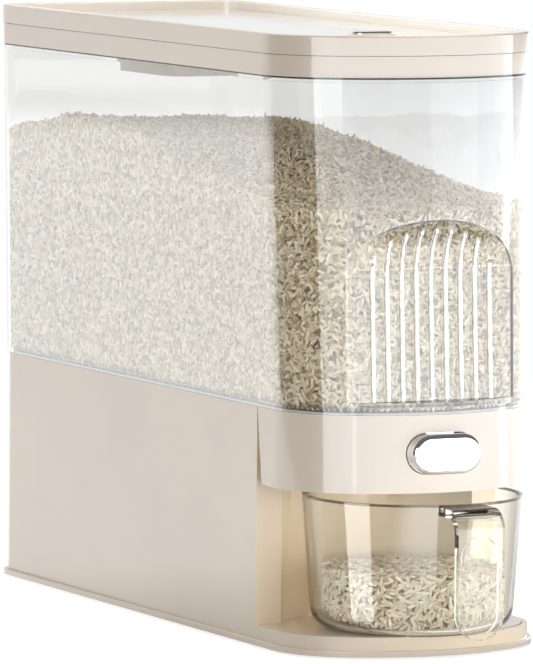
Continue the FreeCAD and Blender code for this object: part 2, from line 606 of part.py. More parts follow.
def gate_guide():
    """Rails beside the sliding gate, and the wall that the return spring presses on."""
    owner = new_body("gate_guide")
    rear = "gate_cover + outlet_width / 2 - outlet_place"
    front = "-%s" % SPRING_FRONT
    rail = rectangle(owner, "RailPlan", "XY_Plane", FLOOR_TOP, "%s + running_gap" % GATE_SIDE,
                     RAIL_SIDE, front, rear)
    pad(owner, "Rail", rail, "rail_height")
    foot = rectangle(owner, "FootPlan", "XY_Plane", FLOOR_TOP, "%s - rail_width / 2" % RAIL_SIDE,
                     "%s + rail_foot" % RAIL_SIDE, "%s + gate_plate" % front, rear)
    pad(owner, "Foot", foot, "foot_plate")
    mirror(owner, "Sides", [item for item in owner.Group if item.Name.startswith(("Rail", "Foot"))
                            and item.isDerivedFrom("PartDesign::Pad")])
    seat = rectangle(owner, "SeatPlan", "XY_Plane", FLOOR_TOP, "-%s" % RAIL_SIDE, RAIL_SIDE,
                     "-%s" % SPRING_REAR, "seat_thickness - %s" % SPRING_REAR)
    pad(owner, "Seat", seat, "seat_height")
    passage = rectangle(owner, "PassageFront", "XZ_Plane", "outlet_place", "-%s - running_gap" % GATE_SIDE,
                        "%s + running_gap" % GATE_SIDE, FLOOR_TOP,
                        "%s + gate_thickness + running_gap" % GATE_BOTTOM)
    pocket(owner, "Passage", passage, "outlet_place", reverse=True)
    peg = circle(owner, "PegRound", "XZ_Plane", "%s - seat_thickness" % SPRING_REAR, "0",
                 "button_height", "spring_radius - spring_wire")
    pad(owner, "Peg", peg, "spring_peg + seat_thickness")
    hole = circle(owner, "HolePlan", "XY_Plane", FLOOR_TOP, GUIDE_X, "-guide_start",
                  "screw_radius + fit_gap")
    spread(owner, "Holes", [pocket(owner, "Hole", hole, "foot_plate", reverse=True)],
           "guide_pitch", 2)
    return owner


def guide_screws():
    screws = []
    for side in ("", "-"):
        for row in range(2):
            screws.append(screw(side + GUIDE_X, "guide_pitch * %d - guide_start" % row,
                                "%s + foot_plate + screw_head_height" % FLOOR_TOP,
                                "screw_head_height + foot_plate + head_floor", upward=False))
    return group("guide_screws", screws)


def gate_slide():
    """Sliding gate: a windowed plate under the outlet and the upright that the button pushes."""
    owner = new_body("gate_slide")
    back = "-%s" % BUTTON_BACK
    plate = rectangle(owner, "PlatePlan", "XY_Plane", GATE_BOTTOM, "-%s" % GATE_SIDE, GATE_SIDE,
                      "gate_plate / 2 - %s" % BUTTON_BACK,
                      "gate_cover + outlet_width / 2 - outlet_place")
    pad(owner, "Plate", plate, "gate_thickness")
    upright = rectangle(owner, "UprightPlan", "XY_Plane", GATE_BOTTOM, "-gate_upright_width / 2",
                        "gate_upright_width / 2", back, "gate_plate - %s" % BUTTON_BACK)
    pad(owner, "Upright", upright, "gate_upright_height")
    window = slot(owner, "WindowPlan", "XY_Plane", GATE_BOTTOM,
                  "-(outlet_place + outlet_width / 2 + funnel_wall / 2 + gate_window / 2)",
                  "outlet_length", "gate_window", "gate_window / 4")
    pocket(owner, "Window", window, "gate_thickness", reverse=True)
    return owner


def push_button():
    """Pill-shaped button, held behind the head's wall by a lip above and below."""
    owner = new_body("push_button")
    face = slot(owner, "Face", "XZ_Plane", BUTTON_BACK, "button_height", "button_length",
                "button_width")
    pad(owner, "Button", face, "%s + button_proud - %s" % (BUTTON_WALL, BUTTON_BACK))
    front = -value("%s + button_proud" % BUTTON_WALL)
    dress(owner, "Fillet", "FaceEdge", "button_edge", lambda edge: flat_at(edge, "Y", front))
    lip = rectangle(owner, "LipFront", "XZ_Plane", BUTTON_BACK, "-lip_length / 2", "lip_length / 2",
                    "button_height - lip_height / 2", "button_height + lip_height / 2")
    pad(owner, "Lip", lip, "lip_thickness")
    return owner


def spring(name, radius, wire, turns, length, y_text, z_text):
    """Round-wire compression spring on the middle plane that runs forward from its rear end."""
    coil, thick, count, run = value(radius), value(wire), value(turns), value(length)
    pitch = (run - thick) / count
    helix = Part.makeHelix(pitch, pitch * count, coil)
    section = Part.Wire(Part.makeCircle(thick / 2, FreeCAD.Vector(coil, 0, 0),
                                        FreeCAD.Vector(0, 2 * math.pi * coil, pitch)))
    item = doc.addObject("Part::Feature", name)
    item.Shape = Part.Wire(helix).makePipeShell([section], True, True)
    item.Placement.Rotation = FreeCAD.Rotation(FreeCAD.Vector(1, 0, 0), 90)
    item.setExpression("Placement.Base.y", bind("%s + %s - %s / 2" % (FRAME_Y, y_text, wire)))
    item.setExpression("Placement.Base.z", bind(z_text))
    return item


def button_spring():
    return spring("button_spring", "spring_radius", "spring_wire", "spring_turns",
                  "%s - %s - 2 * fit_gap" % (SPRING_FRONT, SPRING_REAR),
                  "-%s - fit_gap" % SPRING_REAR, "button_height")


def face_side(owner, name, foot, grow="0"):
    """What is cut off in front of the flat face, seen from the side: a leaning run, then a cove."""
    sketch = new_sketch(owner, name, "YZ_Plane")
    start_y = "%s + (%s) * %s" % (COVE_START_Y, grow, LEAN_COS)
    start_z = "%s - (%s) * %s * %s" % (COVE_START_Z, grow, LEAN, LEAN_COS)
    foot_y = "%s - (%s - (%s)) * %s" % (start_y, start_z, foot, LEAN)
    radius = "face_cove + (%s)" % grow
    centre = point(value(COVE_Y), value(COVE_Z))
    start, low = point(value(start_y), value(start_z)), point(value(foot_y), value(foot))
    crown, front = centre + point(0, value(radius)), point(centre.x, low.y)
    sketch.addGeometry([Part.LineSegment(low, start), swing(centre, start, crown),
                        Part.LineSegment(crown, front), Part.LineSegment(front, low)], False)
    for item, kind in ((0, "Tangent"), (1, "Coincident"), (2, "Coincident"), (3, "Coincident")):
        sketch.addConstraint(Sketcher.Constraint(kind, item, 2, (item + 1) % 4, 1))
    sketch.addConstraint(Sketcher.Constraint("Vertical", 2))
    sketch.addConstraint(Sketcher.Constraint("Horizontal", 3))
    sketch.addConstraint(Sketcher.Constraint("PointOnObject", 1, 3, 2))
    put_point(sketch, 0, 1, foot_y, foot)
    put_point(sketch, 0, 2, start_y, start_z)
    dimension(sketch, "Radius", (1,), radius)
    return sketch


def hopper():
    """Clear bin: flared wall, flat ribbed face on its bowed front, inset foot strip, stepped neck."""
    owner = new_body("hopper_shell")
    low = ("hopper_low_width", "hopper_low_front", "hopper_rear")
    top = ("hopper_top_width", "hopper_top_front", "hopper_rear")
    base = ("base_top_width", "base_top_front", "base_rear")
    loft(owner, "Wall", inset_outline(owner, "WallFoot", STRIP_TOP, *low),
         inset_outline(owner, "WallTop", SHOULDER, *top))
    pocket(owner, "Face", face_side(owner, "FaceSide", "%s + face_foot" % STRIP_TOP),
           "hopper_low_width", midplane=True)
    pad(owner, "Strip", inset_outline(owner, "StripPlan", SEAT, *base, inset="strip_inset"),
        "strip_height")
    pad(owner, "Neck", inset_outline(owner, "NeckPlan", SHOULDER, *top, inset="neck_inset"),
        "neck_height")
    pocket(owner, "Foot", inset_outline(owner, "FootPlan", STRIP_TOP, *base,
                                        inset="strip_inset + strip_wall"), "strip_height")
    mouth = inset_outline(owner, "MouthPlan", "%s + neck_height" % SHOULDER, *top,
                          inset="neck_inset + neck_wall")
    pocket(owner, "Mouth", mouth, "neck_height + hopper_wall")
    room = new_body("hopper_room")
    loft(room, "Room", inset_outline(room, "RoomFoot", STRIP_TOP, *low, inset="hopper_wall"),
         inset_outline(room, "RoomTop", "%s - hopper_wall" % SHOULDER, *top, inset="hopper_wall"))
    pocket(room, "RoomFace", face_side(room, "RoomFaceSide", "%s - face_foot" % STRIP_TOP,
                                       "hopper_wall"), "hopper_low_width", midplane=True)
    shell = joined("Part::Cut", "HopperWalls", [owner, room])
    flutes = joined("Part::MultiFuse", "Flutes", [flute(i) for i in range(FLUTES)])
    return joined("Part::MultiFuse", "hopper", [shell, flutes])


FLUTES = SIZES["flute_count"]


def flute(index):
    """One half-round rib that runs up the flat face and its cove; the heights follow an arch."""
    place = "(flute_pitch * %s)" % (index - (FLUTES - 1) / 2)
    reach = abs(index - (FLUTES - 1) / 2) / ((FLUTES - 1) / 2)
    drop = 1 - math.sqrt(1 - (value("flute_share") * reach) ** 2)
    sunk = "(flute_radius - flute_depth)"
    sweep = "(face_cove + %s)" % sunk
    foot = "(%s + face_foot / 2)" % STRIP_TOP
    top = "(%s + face_foot + flute_height - flute_tip - flute_arch * %.4f)" % (STRIP_TOP, drop)
    rise = "(%s - %s)" % (top, COVE_Z)
    lean = FreeCAD.Rotation(FreeCAD.Vector(1, 0, 0), -math.degrees(math.atan(value(LEAN))))

    run = doc.addObject("Part::Cylinder", "FluteRun")
    run.setExpression("Height", bind("(%s - %s) / %s" % (COVE_START_Z, foot, LEAN_COS)))
    run.Placement.Rotation = lean
    run.setExpression("Placement.Base.y", bind(
        "%s - (%s - %s) * %s + %s * %s" % (COVE_START_Y, COVE_START_Z, foot, LEAN, sunk, LEAN_COS)))
    run.setExpression("Placement.Base.z", bind("%s - %s * %s * %s" % (foot, sunk, LEAN, LEAN_COS)))

    bend = doc.addObject("Part::Torus", "FluteBend")
    bend.setExpression("Radius1", bind(sweep))
    bend.setExpression("Angle3", bind("asin(%s / %s) + atan(%s)" % (rise, sweep, LEAN)))
    axis_along_x = FreeCAD.Rotation(FreeCAD.Vector(1, 1, 1), 120)
    bend.Placement.Rotation = lean * axis_along_x
    bend.setExpression("Placement.Base.y", bind(COVE_Y))
    bend.setExpression("Placement.Base.z", bind(COVE_Z))

    tip = doc.addObject("Part::Cone", "FluteTip")
    tip.Radius2 = 0
    tip.setExpression("Height", bind("flute_tip"))
    tip.Placement.Rotation = FreeCAD.Rotation(FreeCAD.Vector(1, 0, 0), 45)
    tip.setExpression("Placement.Rotation.Angle", bind("asin(%s / %s)" % (rise, sweep)))
    tip.setExpression("Placement.Base.y", bind(
        "%s + sqrt(%s * %s - %s * %s)" % (COVE_Y, sweep, sweep, rise, rise)))
    tip.setExpression("Placement.Base.z", bind(top))
    for item, size in ((run, "Radius"), (bend, "Radius2"), (tip, "Radius1")):
        item.setExpression(size, bind("flute_radius"))
        item.setExpression("Placement.Base.x", bind(place))
    return joined("Part::MultiFuse", "Flute", [run, bend, tip])


def ring(name, level, height, width, front, rear, outer, inner):
    """A flat band that follows the outline, between two insets."""
    owner = new_body(name)
    pad(owner, "Band", inset_outline(owner, "Outer", level, width, front, rear, outer), height)
    pocket(owner, "Opening", inset_outline(owner, "Inner", level, width, front, rear, inner), height,
           reverse=True)
    return owner


def hopper_seal():
    return ring("hopper_seal", SEAT, "seal_height", "base_top_width", "base_top_front", "base_rear",
                "strip_inset + strip_wall + fit_gap",
                "strip_inset + strip_wall + fit_gap + seal_width")


def knuckle(owner, name, start, low, high, face):
    """A hinge barrel along X with the tab that joins it to a rear face between two heights."""
    barrel = circle(owner, name + "Round", "YZ_Plane", start, HINGE_Y, SEAM, "knuckle_radius")
    tab = rectangle(owner, name + "Side", "YZ_Plane", start, face, HINGE_Y, low, high)
    return [pad(owner, name + "Tab", tab, "knuckle_length"),
            pad(owner, name + "Barrel", barrel, "knuckle_length")]


def bore(owner, name, start):
    """Pin hole through a barrel, on both sides."""
    hole = circle(owner, name, "YZ_Plane", start, HINGE_Y, SEAM, "pin_radius + pin_gap")
    mirror(owner, name + "s", [pocket(owner, name + "Cut", hole, "knuckle_length", reverse=True)])


COLLAR_START = "hinge_distance / 2"
LID_START = "(hinge_distance / 2 + knuckle_length + running_gap)"


def collar():
    """Ring that clamps over the hopper's neck, with the hinge's fixed barrels."""
    owner = new_body("collar")
    face = ("lid_width", "lid_front", "lid_rear")
    pad(owner, "Ring", inset_outline(owner, "Plan", SHOULDER, *face, inset="collar_inset"),
        "collar_height")
    mirror(owner, "Barrels", knuckle(owner, "Knuckle", COLLAR_START, "%s - knuckle_radius" % SEAM, SEAM,
                                     "lid_rear - lid_skirt"))
    socket = inset_outline(owner, "SocketPlan", SHOULDER, "hopper_top_width", "hopper_top_front",
                           "hopper_rear", "neck_inset - fit_gap")
    pocket(owner, "Socket", socket, "neck_height + fit_gap", reverse=True)
    pocket(owner, "Opening", inset_outline(owner, "OpeningPlan", SEAM, *face, inset="opening_inset"),
           "collar_height")
    bore(owner, "Bore", COLLAR_START)
    return owner


def lid_frame():
    """Lid: rim around a deep recess, boss for the release button, and the hinge's moving barrels."""
    owner = new_body("lid_frame")
    face = ("lid_width", "lid_front", "lid_rear")
    pad(owner, "Block", inset_outline(owner, "Plan", LID_BOTTOM, *face), "lid_height")
    pocket(owner, "Recess", inset_outline(owner, "RecessPlan", LID_TOP, *face, inset="rim_width"),
           "lid_recess")
    dress(owner, "Fillet", "RimEdges", "lid_edge", lambda edge: flat_at(edge, "Z", value(LID_TOP)))
    pocket(owner, "Skirt", inset_outline(owner, "SkirtPlan", LID_BOTTOM, *face, inset="lid_skirt"),
           "lid_height - lid_recess - lid_web", reverse=True)
    boss = slot(owner, "BossPlan", "XY_Plane", WEB_TOP, "-latch_place",
                "latch_length + 2 * (fit_gap + latch_boss_wall)",
                "latch_width + 2 * (fit_gap + latch_boss_wall)")
    pad(owner, "Boss", boss, "latch_boss_height")
    mirror(owner, "Barrels", knuckle(owner, "Knuckle", LID_START, LID_BOTTOM,
                                     "%s + knuckle_radius" % SEAM, "lid_rear - lid_skirt"))
    well = slot(owner, "WellPlan", "XY_Plane", WEB_BOTTOM, "-latch_place",
                "latch_length + 2 * fit_gap", "latch_width + 2 * fit_gap")
    pocket(owner, "Well", well, "lid_web + latch_boss_height", reverse=True)
    bore(owner, "Bore", LID_START)
    return owner


def lid_panel():
    """Glossy inlay in the lid's recess, with a raised middle and a cut-out for the boss."""
    owner = new_body("lid_panel")
    face = ("lid_width", "lid_front", "lid_rear")
    pad(owner, "Sheet", inset_outline(owner, "Plan", WEB_TOP, *face, inset="rim_width + fit_gap"),
        "panel_thickness")
    pad(owner, "Raised", inset_outline(owner, "RaisedPlan", WEB_TOP, *face,
                                       inset="rim_width + panel_border"),
        "panel_thickness + panel_step")
    hole = slot(owner, "HolePlan", "XY_Plane", WEB_TOP, "-latch_place",
                "latch_length + 2 * (fit_gap * 2 + latch_boss_wall)",
                "latch_width + 2 * (fit_gap * 2 + latch_boss_wall)")
    pocket(owner, "Hole", hole, "panel_thickness + panel_step", reverse=True)
    return owner


def lid_seal():
    return ring("lid_seal", LID_BOTTOM, "lid_height - lid_recess - lid_web", "lid_width", "lid_front",
                "lid_rear", "opening_inset - 2 * running_gap - seal_width",
                "opening_inset - 2 * running_gap")


def hinge_pins():
    turn = FreeCAD.Rotation(FreeCAD.Vector(0, 1, 0), 90)
    length = "2 * knuckle_length + running_gap"
    right = cylinder("Pin", "pin_radius", length, COLLAR_START, HINGE_Y, SEAM, turn)
    left = cylinder("Pin", "pin_radius", length, "-(%s + %s)" % (COLLAR_START, length), HINGE_Y, SEAM,
                    turn)
    return group("hinge_pins", [right, left])


def latch_button():
    """Release button: a pill with a stem whose wedge drives the bolt rearward."""
    owner = new_body("latch_button")
    low = "(%s + latch_travel / 2)" % WEB_TOP
    high = "(%s + latch_boss_height + latch_proud)" % WEB_TOP
    pill = slot(owner, "PillPlan", "XY_Plane", low, "-latch_place", "latch_length", "latch_width")
    pad(owner, "Pill", pill, "%s - %s" % (high, low))
    top = value(high)
    dress(owner, "Fillet", "PillEdge", "latch_edge", lambda edge: flat_at(edge, "Z", top))
    front, rear = "-(latch_place + stem_depth / 2)", "(stem_depth / 2 - latch_place)"
    wedge = polygon(owner, "StemSide", "YZ_Plane",
                    [(front, low), (front, "%s - bolt_thickness" % BOLT_TOP),
                     ("%s - bolt_thickness" % rear, "%s - bolt_thickness" % BOLT_TOP),
                     (rear, BOLT_TOP), (rear, low)])
    pad(owner, "Stem", wedge, "stem_width", midplane=True)
    return owner


def latch_bolt():
    """Sliding bolt under the lid, with the sloped slot that the wedge works in."""
    owner = new_body("latch_bolt")
    nose = "-(lid_front - opening_inset - running_gap)"
    plate = rectangle(owner, "PlatePlan", "XY_Plane", "%s - bolt_thickness" % BOLT_TOP,
                      "-bolt_width / 2", "bolt_width / 2", nose, "bolt_tail - latch_place")
    pad(owner, "Plate", plate, "bolt_thickness")
    low = "%s - bolt_thickness" % BOLT_TOP
    front = "-(latch_place + stem_depth / 2 + latch_travel + running_gap)"
    rear = "(stem_depth / 2 + fit_gap * 1.5 - latch_place)"
    slope = polygon(owner, "SlopeSide", "YZ_Plane",
                    [(front, low), ("%s - bolt_thickness" % rear, low), (rear, BOLT_TOP),
                     (front, BOLT_TOP)])
    pocket(owner, "Slope", slope, "stem_width + 2 * running_gap", midplane=True)
    return owner


def latch_channel():
    """Channel fixed under the lid's web that carries the bolt and backs its spring."""
    owner = new_body("latch_channel")
    half = "bolt_width / 2 + running_gap"
    low = "%s - bolt_thickness - running_gap" % BOLT_TOP
    tail = "bolt_tail - latch_place + latch_spring_length"
    block = rectangle(owner, "BlockPlan", "XY_Plane", "%s - channel_wall" % low,
                      "-(%s + channel_wall)" % half, "%s + channel_wall" % half, "-channel_front",
                      "%s + channel_wall" % tail)
    pad(owner, "Block", block, "%s - (%s) + channel_wall" % (WEB_BOTTOM, low))
    room = rectangle(owner, "RoomPlan", "XY_Plane", WEB_BOTTOM, "-(%s)" % half, half,
                     "-channel_front - channel_wall", tail)
    pocket(owner, "Room", room, "%s - (%s)" % (WEB_BOTTOM, low))
    relief = rectangle(owner, "ReliefPlan", "XY_Plane", low, "-(stem_width / 2 + running_gap)",
                       "stem_width / 2 + running_gap",
                       "-(latch_place + stem_depth / 2 + running_gap)",
                       "stem_depth / 2 + running_gap - latch_place")
    pocket(owner, "Relief", relief, "channel_wall")
    return owner


def latch_spring():
    return spring("latch_spring", "latch_spring_radius", "latch_wire", "latch_spring_turns",
                  "latch_spring_length - 2 * fit_gap",
                  "bolt_tail - latch_place + latch_spring_length - fit_gap",
                  "%s - bolt_thickness / 2" % BOLT_TOP)


def drier_box():
    """Desiccant box under the lid, open below."""
    owner = new_body("drier_box")
    low = "%s - drier_drop" % WEB_BOTTOM
    pad(owner, "Box", slot(owner, "Plan", "XY_Plane", low, "drier_place", "drier_width",
                           "drier_length", "drier_corner"), "drier_drop")
    room = slot(owner, "RoomPlan", "XY_Plane", low, "drier_place", "drier_width - 2 * drier_wall",
                "drier_length - 2 * drier_wall", "drier_corner - drier_wall")
    pocket(owner, "Room", room, "drier_drop - drier_wall", reverse=True)
    return owner


def drier_grille():
    """Vented cover in the mouth of the desiccant box."""
    owner = new_body("drier_grille")
    low = "%s - drier_drop" % WEB_BOTTOM
    inset = "(drier_wall + fit_gap / 2)"
    pad(owner, "Plate", slot(owner, "Plan", "XY_Plane", low, "drier_place",
                             "drier_width - 2 * %s" % inset, "drier_length - 2 * %s" % inset,
                             "drier_corner - %s" % inset), "grille_thickness")
    cut = slot(owner, "SlotPlan", "XY_Plane", low, "drier_place - 4 * grille_pitch",
               "drier_width - 2 * drier_corner", "grille_slot")
    repeat(owner, "Slots", [pocket(owner, "Slot", cut, "grille_thickness", reverse=True)],
           "Y_Axis", "grille_pitch", 9)
    return owner


def bowl(owner, name, floor, foot_radius, corner, rim_radius, additive=True):
    """A full turn of a flat floor, a round corner and a leaning wall up to the cup's rim."""
    sketch = new_sketch(owner, name + "Side", "XZ_Plane")
    radius, rim = value(corner), point(value(rim_radius), value("cup_height"))
    heel = point(value(foot_radius), value(floor))
    slope = (rim - heel).normalize()
    back_off = radius / math.tan(math.acos(-slope.x) / 2)
    low, high = heel - point(back_off, 0), heel + slope * back_off
    bottom, top = point(0, heel.y), point(0, rim.y)
    sketch.addGeometry([Part.LineSegment(bottom, low), swing(low + point(0, radius), low, high),
                        Part.LineSegment(high, rim), Part.LineSegment(rim, top),
                        Part.LineSegment(top, bottom)], False)
    for item, kind in ((0, "Tangent"), (1, "Tangent"), (2, "Coincident"), (3, "Coincident"),
                       (4, "Coincident")):
        sketch.addConstraint(Sketcher.Constraint(kind, item, 2, (item + 1) % 5, 1))
    sketch.addGeometry(Part.Point(heel), True)
    sketch.addConstraint(Sketcher.Constraint("PointOnObject", 5, 1, 2))
    sketch.addConstraint(Sketcher.Constraint("PointOnObject", 0, 1, -2))
    sketch.addConstraint(Sketcher.Constraint("Horizontal", 0))
    sketch.addConstraint(Sketcher.Constraint("Horizontal", 3))
    sketch.addConstraint(Sketcher.Constraint("Vertical", 4))
    put_point(sketch, 5, 1, foot_radius, floor)
    put_point(sketch, 2, 2, rim_radius, "cup_height")
    dimension(sketch, "DistanceY", (-1, 1, 0, 1), floor)
    dimension(sketch, "Radius", (1,), corner)
    before = owner.Shape.Volume if not additive else 0
    feature = owner.newObject("PartDesign::Revolution" if additive else "PartDesign::Groove", name)
    feature.Profile = sketch
    feature.ReferenceAxis = (origin_plane(owner, "Z_Axis"), [""])
    feature.Angle = 360
    doc.recompute()
    if not additive and owner.Shape.Volume > before - 1e-3:
        raise ValueError("%s cuts nothing" % name)
    return feature


def measuring_cup():
    """Clear cup that stands on the tray, with a hooked strap handle stiffened by an edge rib."""
    owner = new_body("measuring_cup")
    owner.setExpression("Placement.Base.y", bind("%s - cup_place" % FRAME_Y))
    owner.setExpression("Placement.Base.z", bind("%s + running_gap" % TRAY_TOP))
    bowl(owner, "Outside", "0", "cup_foot_radius", "cup_corner", "cup_rim_radius")
    tip = "-(cup_rim_radius + strap_depth)"
    top = "cup_height - strap_drop"
    arm = polygon(owner, "ArmSide", "YZ_Plane",
                  [("-cup_foot_radius", top), (tip, top), (tip, "%s - strap_arm" % top),
                   ("%s + strap_rib" % tip, "%s - strap_arm" % top),
                   ("%s + strap_rib" % tip, "%s - strap_rib" % top),
                   ("-cup_foot_radius", "%s - strap_rib" % top)])
    pad(owner, "Arm", arm, "strap_width", midplane=True)
    tip_y, top_z, rib = value(tip), value(top), value("strap_rib")
    dress(owner, "Fillet", "OuterBend", "strap_bend",
          lambda edge: flat_at(edge, "Y", tip_y) and flat_at(edge, "Z", top_z))
    dress(owner, "Fillet", "InnerBend", "strap_bend - strap_rib",
          lambda edge: flat_at(edge, "Y", tip_y + rib) and flat_at(edge, "Z", top_z - rib))
    length = "(%s - strap_arm / 2 - strap_end)" % top
    leg = slot(owner, "LegFront", "XZ_Plane", "cup_rim_radius + strap_depth - strap_rib",
               "strap_end + %s / 2" % length, "strap_width", length, "strap_width / 2 - 0.01")
    pad(owner, "Leg", leg, "strap_rib")
    web = slot(owner, "WebFront", "XZ_Plane", "cup_rim_radius + strap_depth - strap_rib",
               "strap_end + %s / 2" % length, "strap_width - 2 * strap_rib_width",
               "%s - 2 * strap_rib_width" % length, "strap_width / 2 - strap_rib_width - 0.01")
    pocket(owner, "Web", web, "strap_rib - strap_web", reverse=True)
    bowl(owner, "Inside", "cup_floor", "cup_foot_radius - cup_wall", "cup_corner - cup_wall",
         "cup_rim_radius - cup_wall", additive=False)
    return owner


PARTS = [base_housing, base_plate, rubber_feet, base_screws, dispenser_head, funnel, gate_guide,
         guide_screws, gate_slide, push_button, button_spring, hopper, hopper_seal, collar, lid_frame,
         lid_panel, lid_seal, hinge_pins, latch_button, latch_bolt, latch_channel, latch_spring,
         drier_box, drier_grille, measuring_cup]


def main():
    os.makedirs("parts", exist_ok=True)
    made = []
    for make in PARTS:
        item = make()
        item.Label = make.__name__
        if not any("Placement.Base.y" in path for path, _ in item.ExpressionEngine):
            item.setExpression("Placement.Base.y", bind(FRAME_Y))
        made.append(item)
    doc.recompute()
    for item in doc.Objects:
        if "Invalid" in item.State or "Error" in item.State:
            raise ValueError("%s is in error: %s" % (item.Name, item.State))
    for item in made:
        if item.Shape.isNull() or not item.Shape.isValid():
            raise ValueError("%s has no valid shape" % item.Label)
    for item in made:
        item.Shape.exportStep("parts/%s.step" % item.Label)
        print("%-16s %2d solids %10.1f mm3" % (item.Label, len(item.Shape.Solids), item.Shape.Volume))


main()
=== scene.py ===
"""Looks of a gravity rice dispenser: clear hopper on a cream base, chrome push button, measuring cup."""
import math

import bmesh
import bpy
import numpy as np
from mathutils import Matrix, Vector


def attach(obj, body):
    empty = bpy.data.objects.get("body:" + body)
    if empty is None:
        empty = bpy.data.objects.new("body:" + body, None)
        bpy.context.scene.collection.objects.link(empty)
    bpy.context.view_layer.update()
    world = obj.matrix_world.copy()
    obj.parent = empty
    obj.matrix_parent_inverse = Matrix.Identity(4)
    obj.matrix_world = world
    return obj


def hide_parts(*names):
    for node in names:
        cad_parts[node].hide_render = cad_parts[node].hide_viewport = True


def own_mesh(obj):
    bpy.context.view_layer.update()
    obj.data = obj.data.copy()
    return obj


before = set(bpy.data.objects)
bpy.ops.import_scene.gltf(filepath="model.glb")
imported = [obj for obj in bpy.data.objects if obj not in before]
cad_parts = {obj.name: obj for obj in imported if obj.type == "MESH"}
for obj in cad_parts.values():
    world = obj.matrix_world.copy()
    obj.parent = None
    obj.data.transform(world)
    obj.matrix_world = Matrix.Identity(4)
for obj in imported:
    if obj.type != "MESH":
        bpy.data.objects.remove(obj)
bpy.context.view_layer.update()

MM = 0.001

# Levels and plan of the dispenser, in millimetres.
SHIFT = 19.45                    # from the middle of the foot plate to the middle of the whole dispenser
STRIP_TOP = 145.6                # top of the hopper's inset foot strip
SHOULDER = 335.8                 # top of the hopper's wall
HOPPER_WALL = 3.0
FRONT_BOW = 7.7                  # rise of the front's curve
FRONT_DRAFT = 10.2               # how far the front leans back between the strip and the shoulder
FRONT_LEAN = FRONT_DRAFT / (SHOULDER - STRIP_TOP)
LEAN_SINE, LEAN_COSINE = 0.0536, 0.9986
SIDE_FLARE = 2.8                 # how far each side leans out over the same height
FACE_Y = -207.21 + SHIFT         # the flat face's outer side, where its cove starts
COVE_RADIUS = 44.0               # above the flat face, where it runs out to the bowed front
COVE_START = 220.0
COVE_MIDDLE = (FACE_Y - COVE_RADIUS * LEAN_COSINE, COVE_START + COVE_RADIUS * LEAN_SINE)

# Plans of the space for rice: half width, reach to the front and to the rear, and the radii of the
# front and the rear corners.
STRIP_PLAN = (76.65, 221.0, 224.8, 49.5, 14.0)
WALL_PLAN = (77.6, 222.0, 225.4, 49.3, 13.8)
FUNNEL_MOUTH = (69.0, 192.5, 217.0, 42.0, 6.0)
FUNNEL_BRIM = (71.6, 214.0, 217.0, 44.0, 8.0)
MOUTH_LEVEL, BRIM_LEVEL = 141.2, 143.0
OUTLET_MIDDLE = (0.0, -180.0 + SHIFT)  # of the column of rice over the gate
OUTLET_HALF = (21.0, 4.2)
OUTLET_LEVELS = (101.6, 105.2)
CUP_MIDDLE = (0.0, -186.6 + SHIFT)
CUP_FOOT = 13.3                  # level of the cup's underside
CUP_BOWL = ((3.6, 38.0), (4.6, 43.5), (8.0, 47.5), (14.0, 49.5))  # levels over the foot, and radii
PILE_REACH = 52.5                # radius of the scooped rice in the cup
PILE_DEPTH = 34.0
HEAP_LEVELS = (240.0, 312.0)     # below and above every point of the heap's surface
HEAP_HALF = 78.0                 # from the heap's crest to either wall
BED_DEPTH = 1.6                  # how far the cores lie under the surface of the rice
SCATTER = 0.7                    # how far grains lie off their surface

# Places on the clear pieces where a finish changes or shade is painted, in metres.
RIB_PITCH = 0.0095               # flutes on the flat face
RIB_COUNT = 9
RIB_TOP = 0.2505
RIB_FOOT = 0.1487
RIB_ARCH = 0.030                 # how far the outer flutes' tips are below the middle one's
RIB_SHARE = 0.94                 # of the arch's half width, out to the middle of the outer flutes
RIB_REAR = -0.15                 # behind every point of the flat face
RIB_SATIN = (0.05, 0.13)         # middle and half width of the satin, in shares of the pitch
SHADOW_LINE = (0.3348, 0.3362)   # painted shadow line just under the collar, where it grips the hopper
# the cup's rim band, darkened as painted shade round the thick rim
CUP_RIM = (0.0906, 0.0930)

# The camera's turns in degrees, its place in metres and its lens in millimetres.
YAW, PITCH, ROLL = 26.0, -5.26, 0.44
EYE = (-1.90356, -3.87442, 0.56905)
LENS = 389.74

# How bright the white surround and the floor are, where 1.0 shows as pure white.
SURROUND_LIGHT = 0.42            # as the light that falls on surfaces
SURROUND_SHEEN = 0.15            # least of what a reflection shows
FLOOR_SEEN = 0.75
FLOOR_LIGHT = 0.2
FLOOR_HALF = 1.2
CARD_WHITE = (0.93, 0.965, 1.0)
CARD_PIVOT = -0.12               # near the middle of the bowed front's curve, along the dispenser

rng = np.random.default_rng(11)  # one fixed seed, so that every run lays the same grains


# ---------------------------------------------------------------- shader nodes

def new_finish(name):
    """A material with its node tree and its one Principled shader."""
    material = bpy.data.materials.new(name)
    material.use_nodes = True
    tree = material.node_tree
    tree.nodes.clear()
    surface = tree.nodes.new("ShaderNodeOutputMaterial")
    skin = tree.nodes.new("ShaderNodeBsdfPrincipled")
    tree.links.new(skin.outputs["BSDF"], surface.inputs["Surface"])
    return material, tree, skin


def plug(socket, content):
    """Links an input to another node's output, or gives it a value."""
    if isinstance(content, bpy.types.NodeSocket):
        socket.id_data.links.new(content, socket)
    else:
        socket.default_value = content


def set_inputs(item, **contents):
    """Plugs a node's inputs by name, with _ for a space."""
    for name, content in contents.items():
        plug(item.inputs[name.replace("_", " ")], content)


def node(tree, kind, *contents, **settings):
    """A new shader node with its first inputs in order; a setting is a property or an input by name."""
    item = tree.nodes.new("ShaderNode" + kind)
    for name, content in settings.items():
        if hasattr(item, name):
            setattr(item, name, content)
        else:
            set_inputs(item, **{name: content})
    for socket, content in zip(item.inputs, contents):
        plug(socket, content)
    return item


def calc(tree, operation, *contents):
    """The result of one step of arithmetic."""
    return node(tree, "Math", *contents, operation=operation).outputs[0]


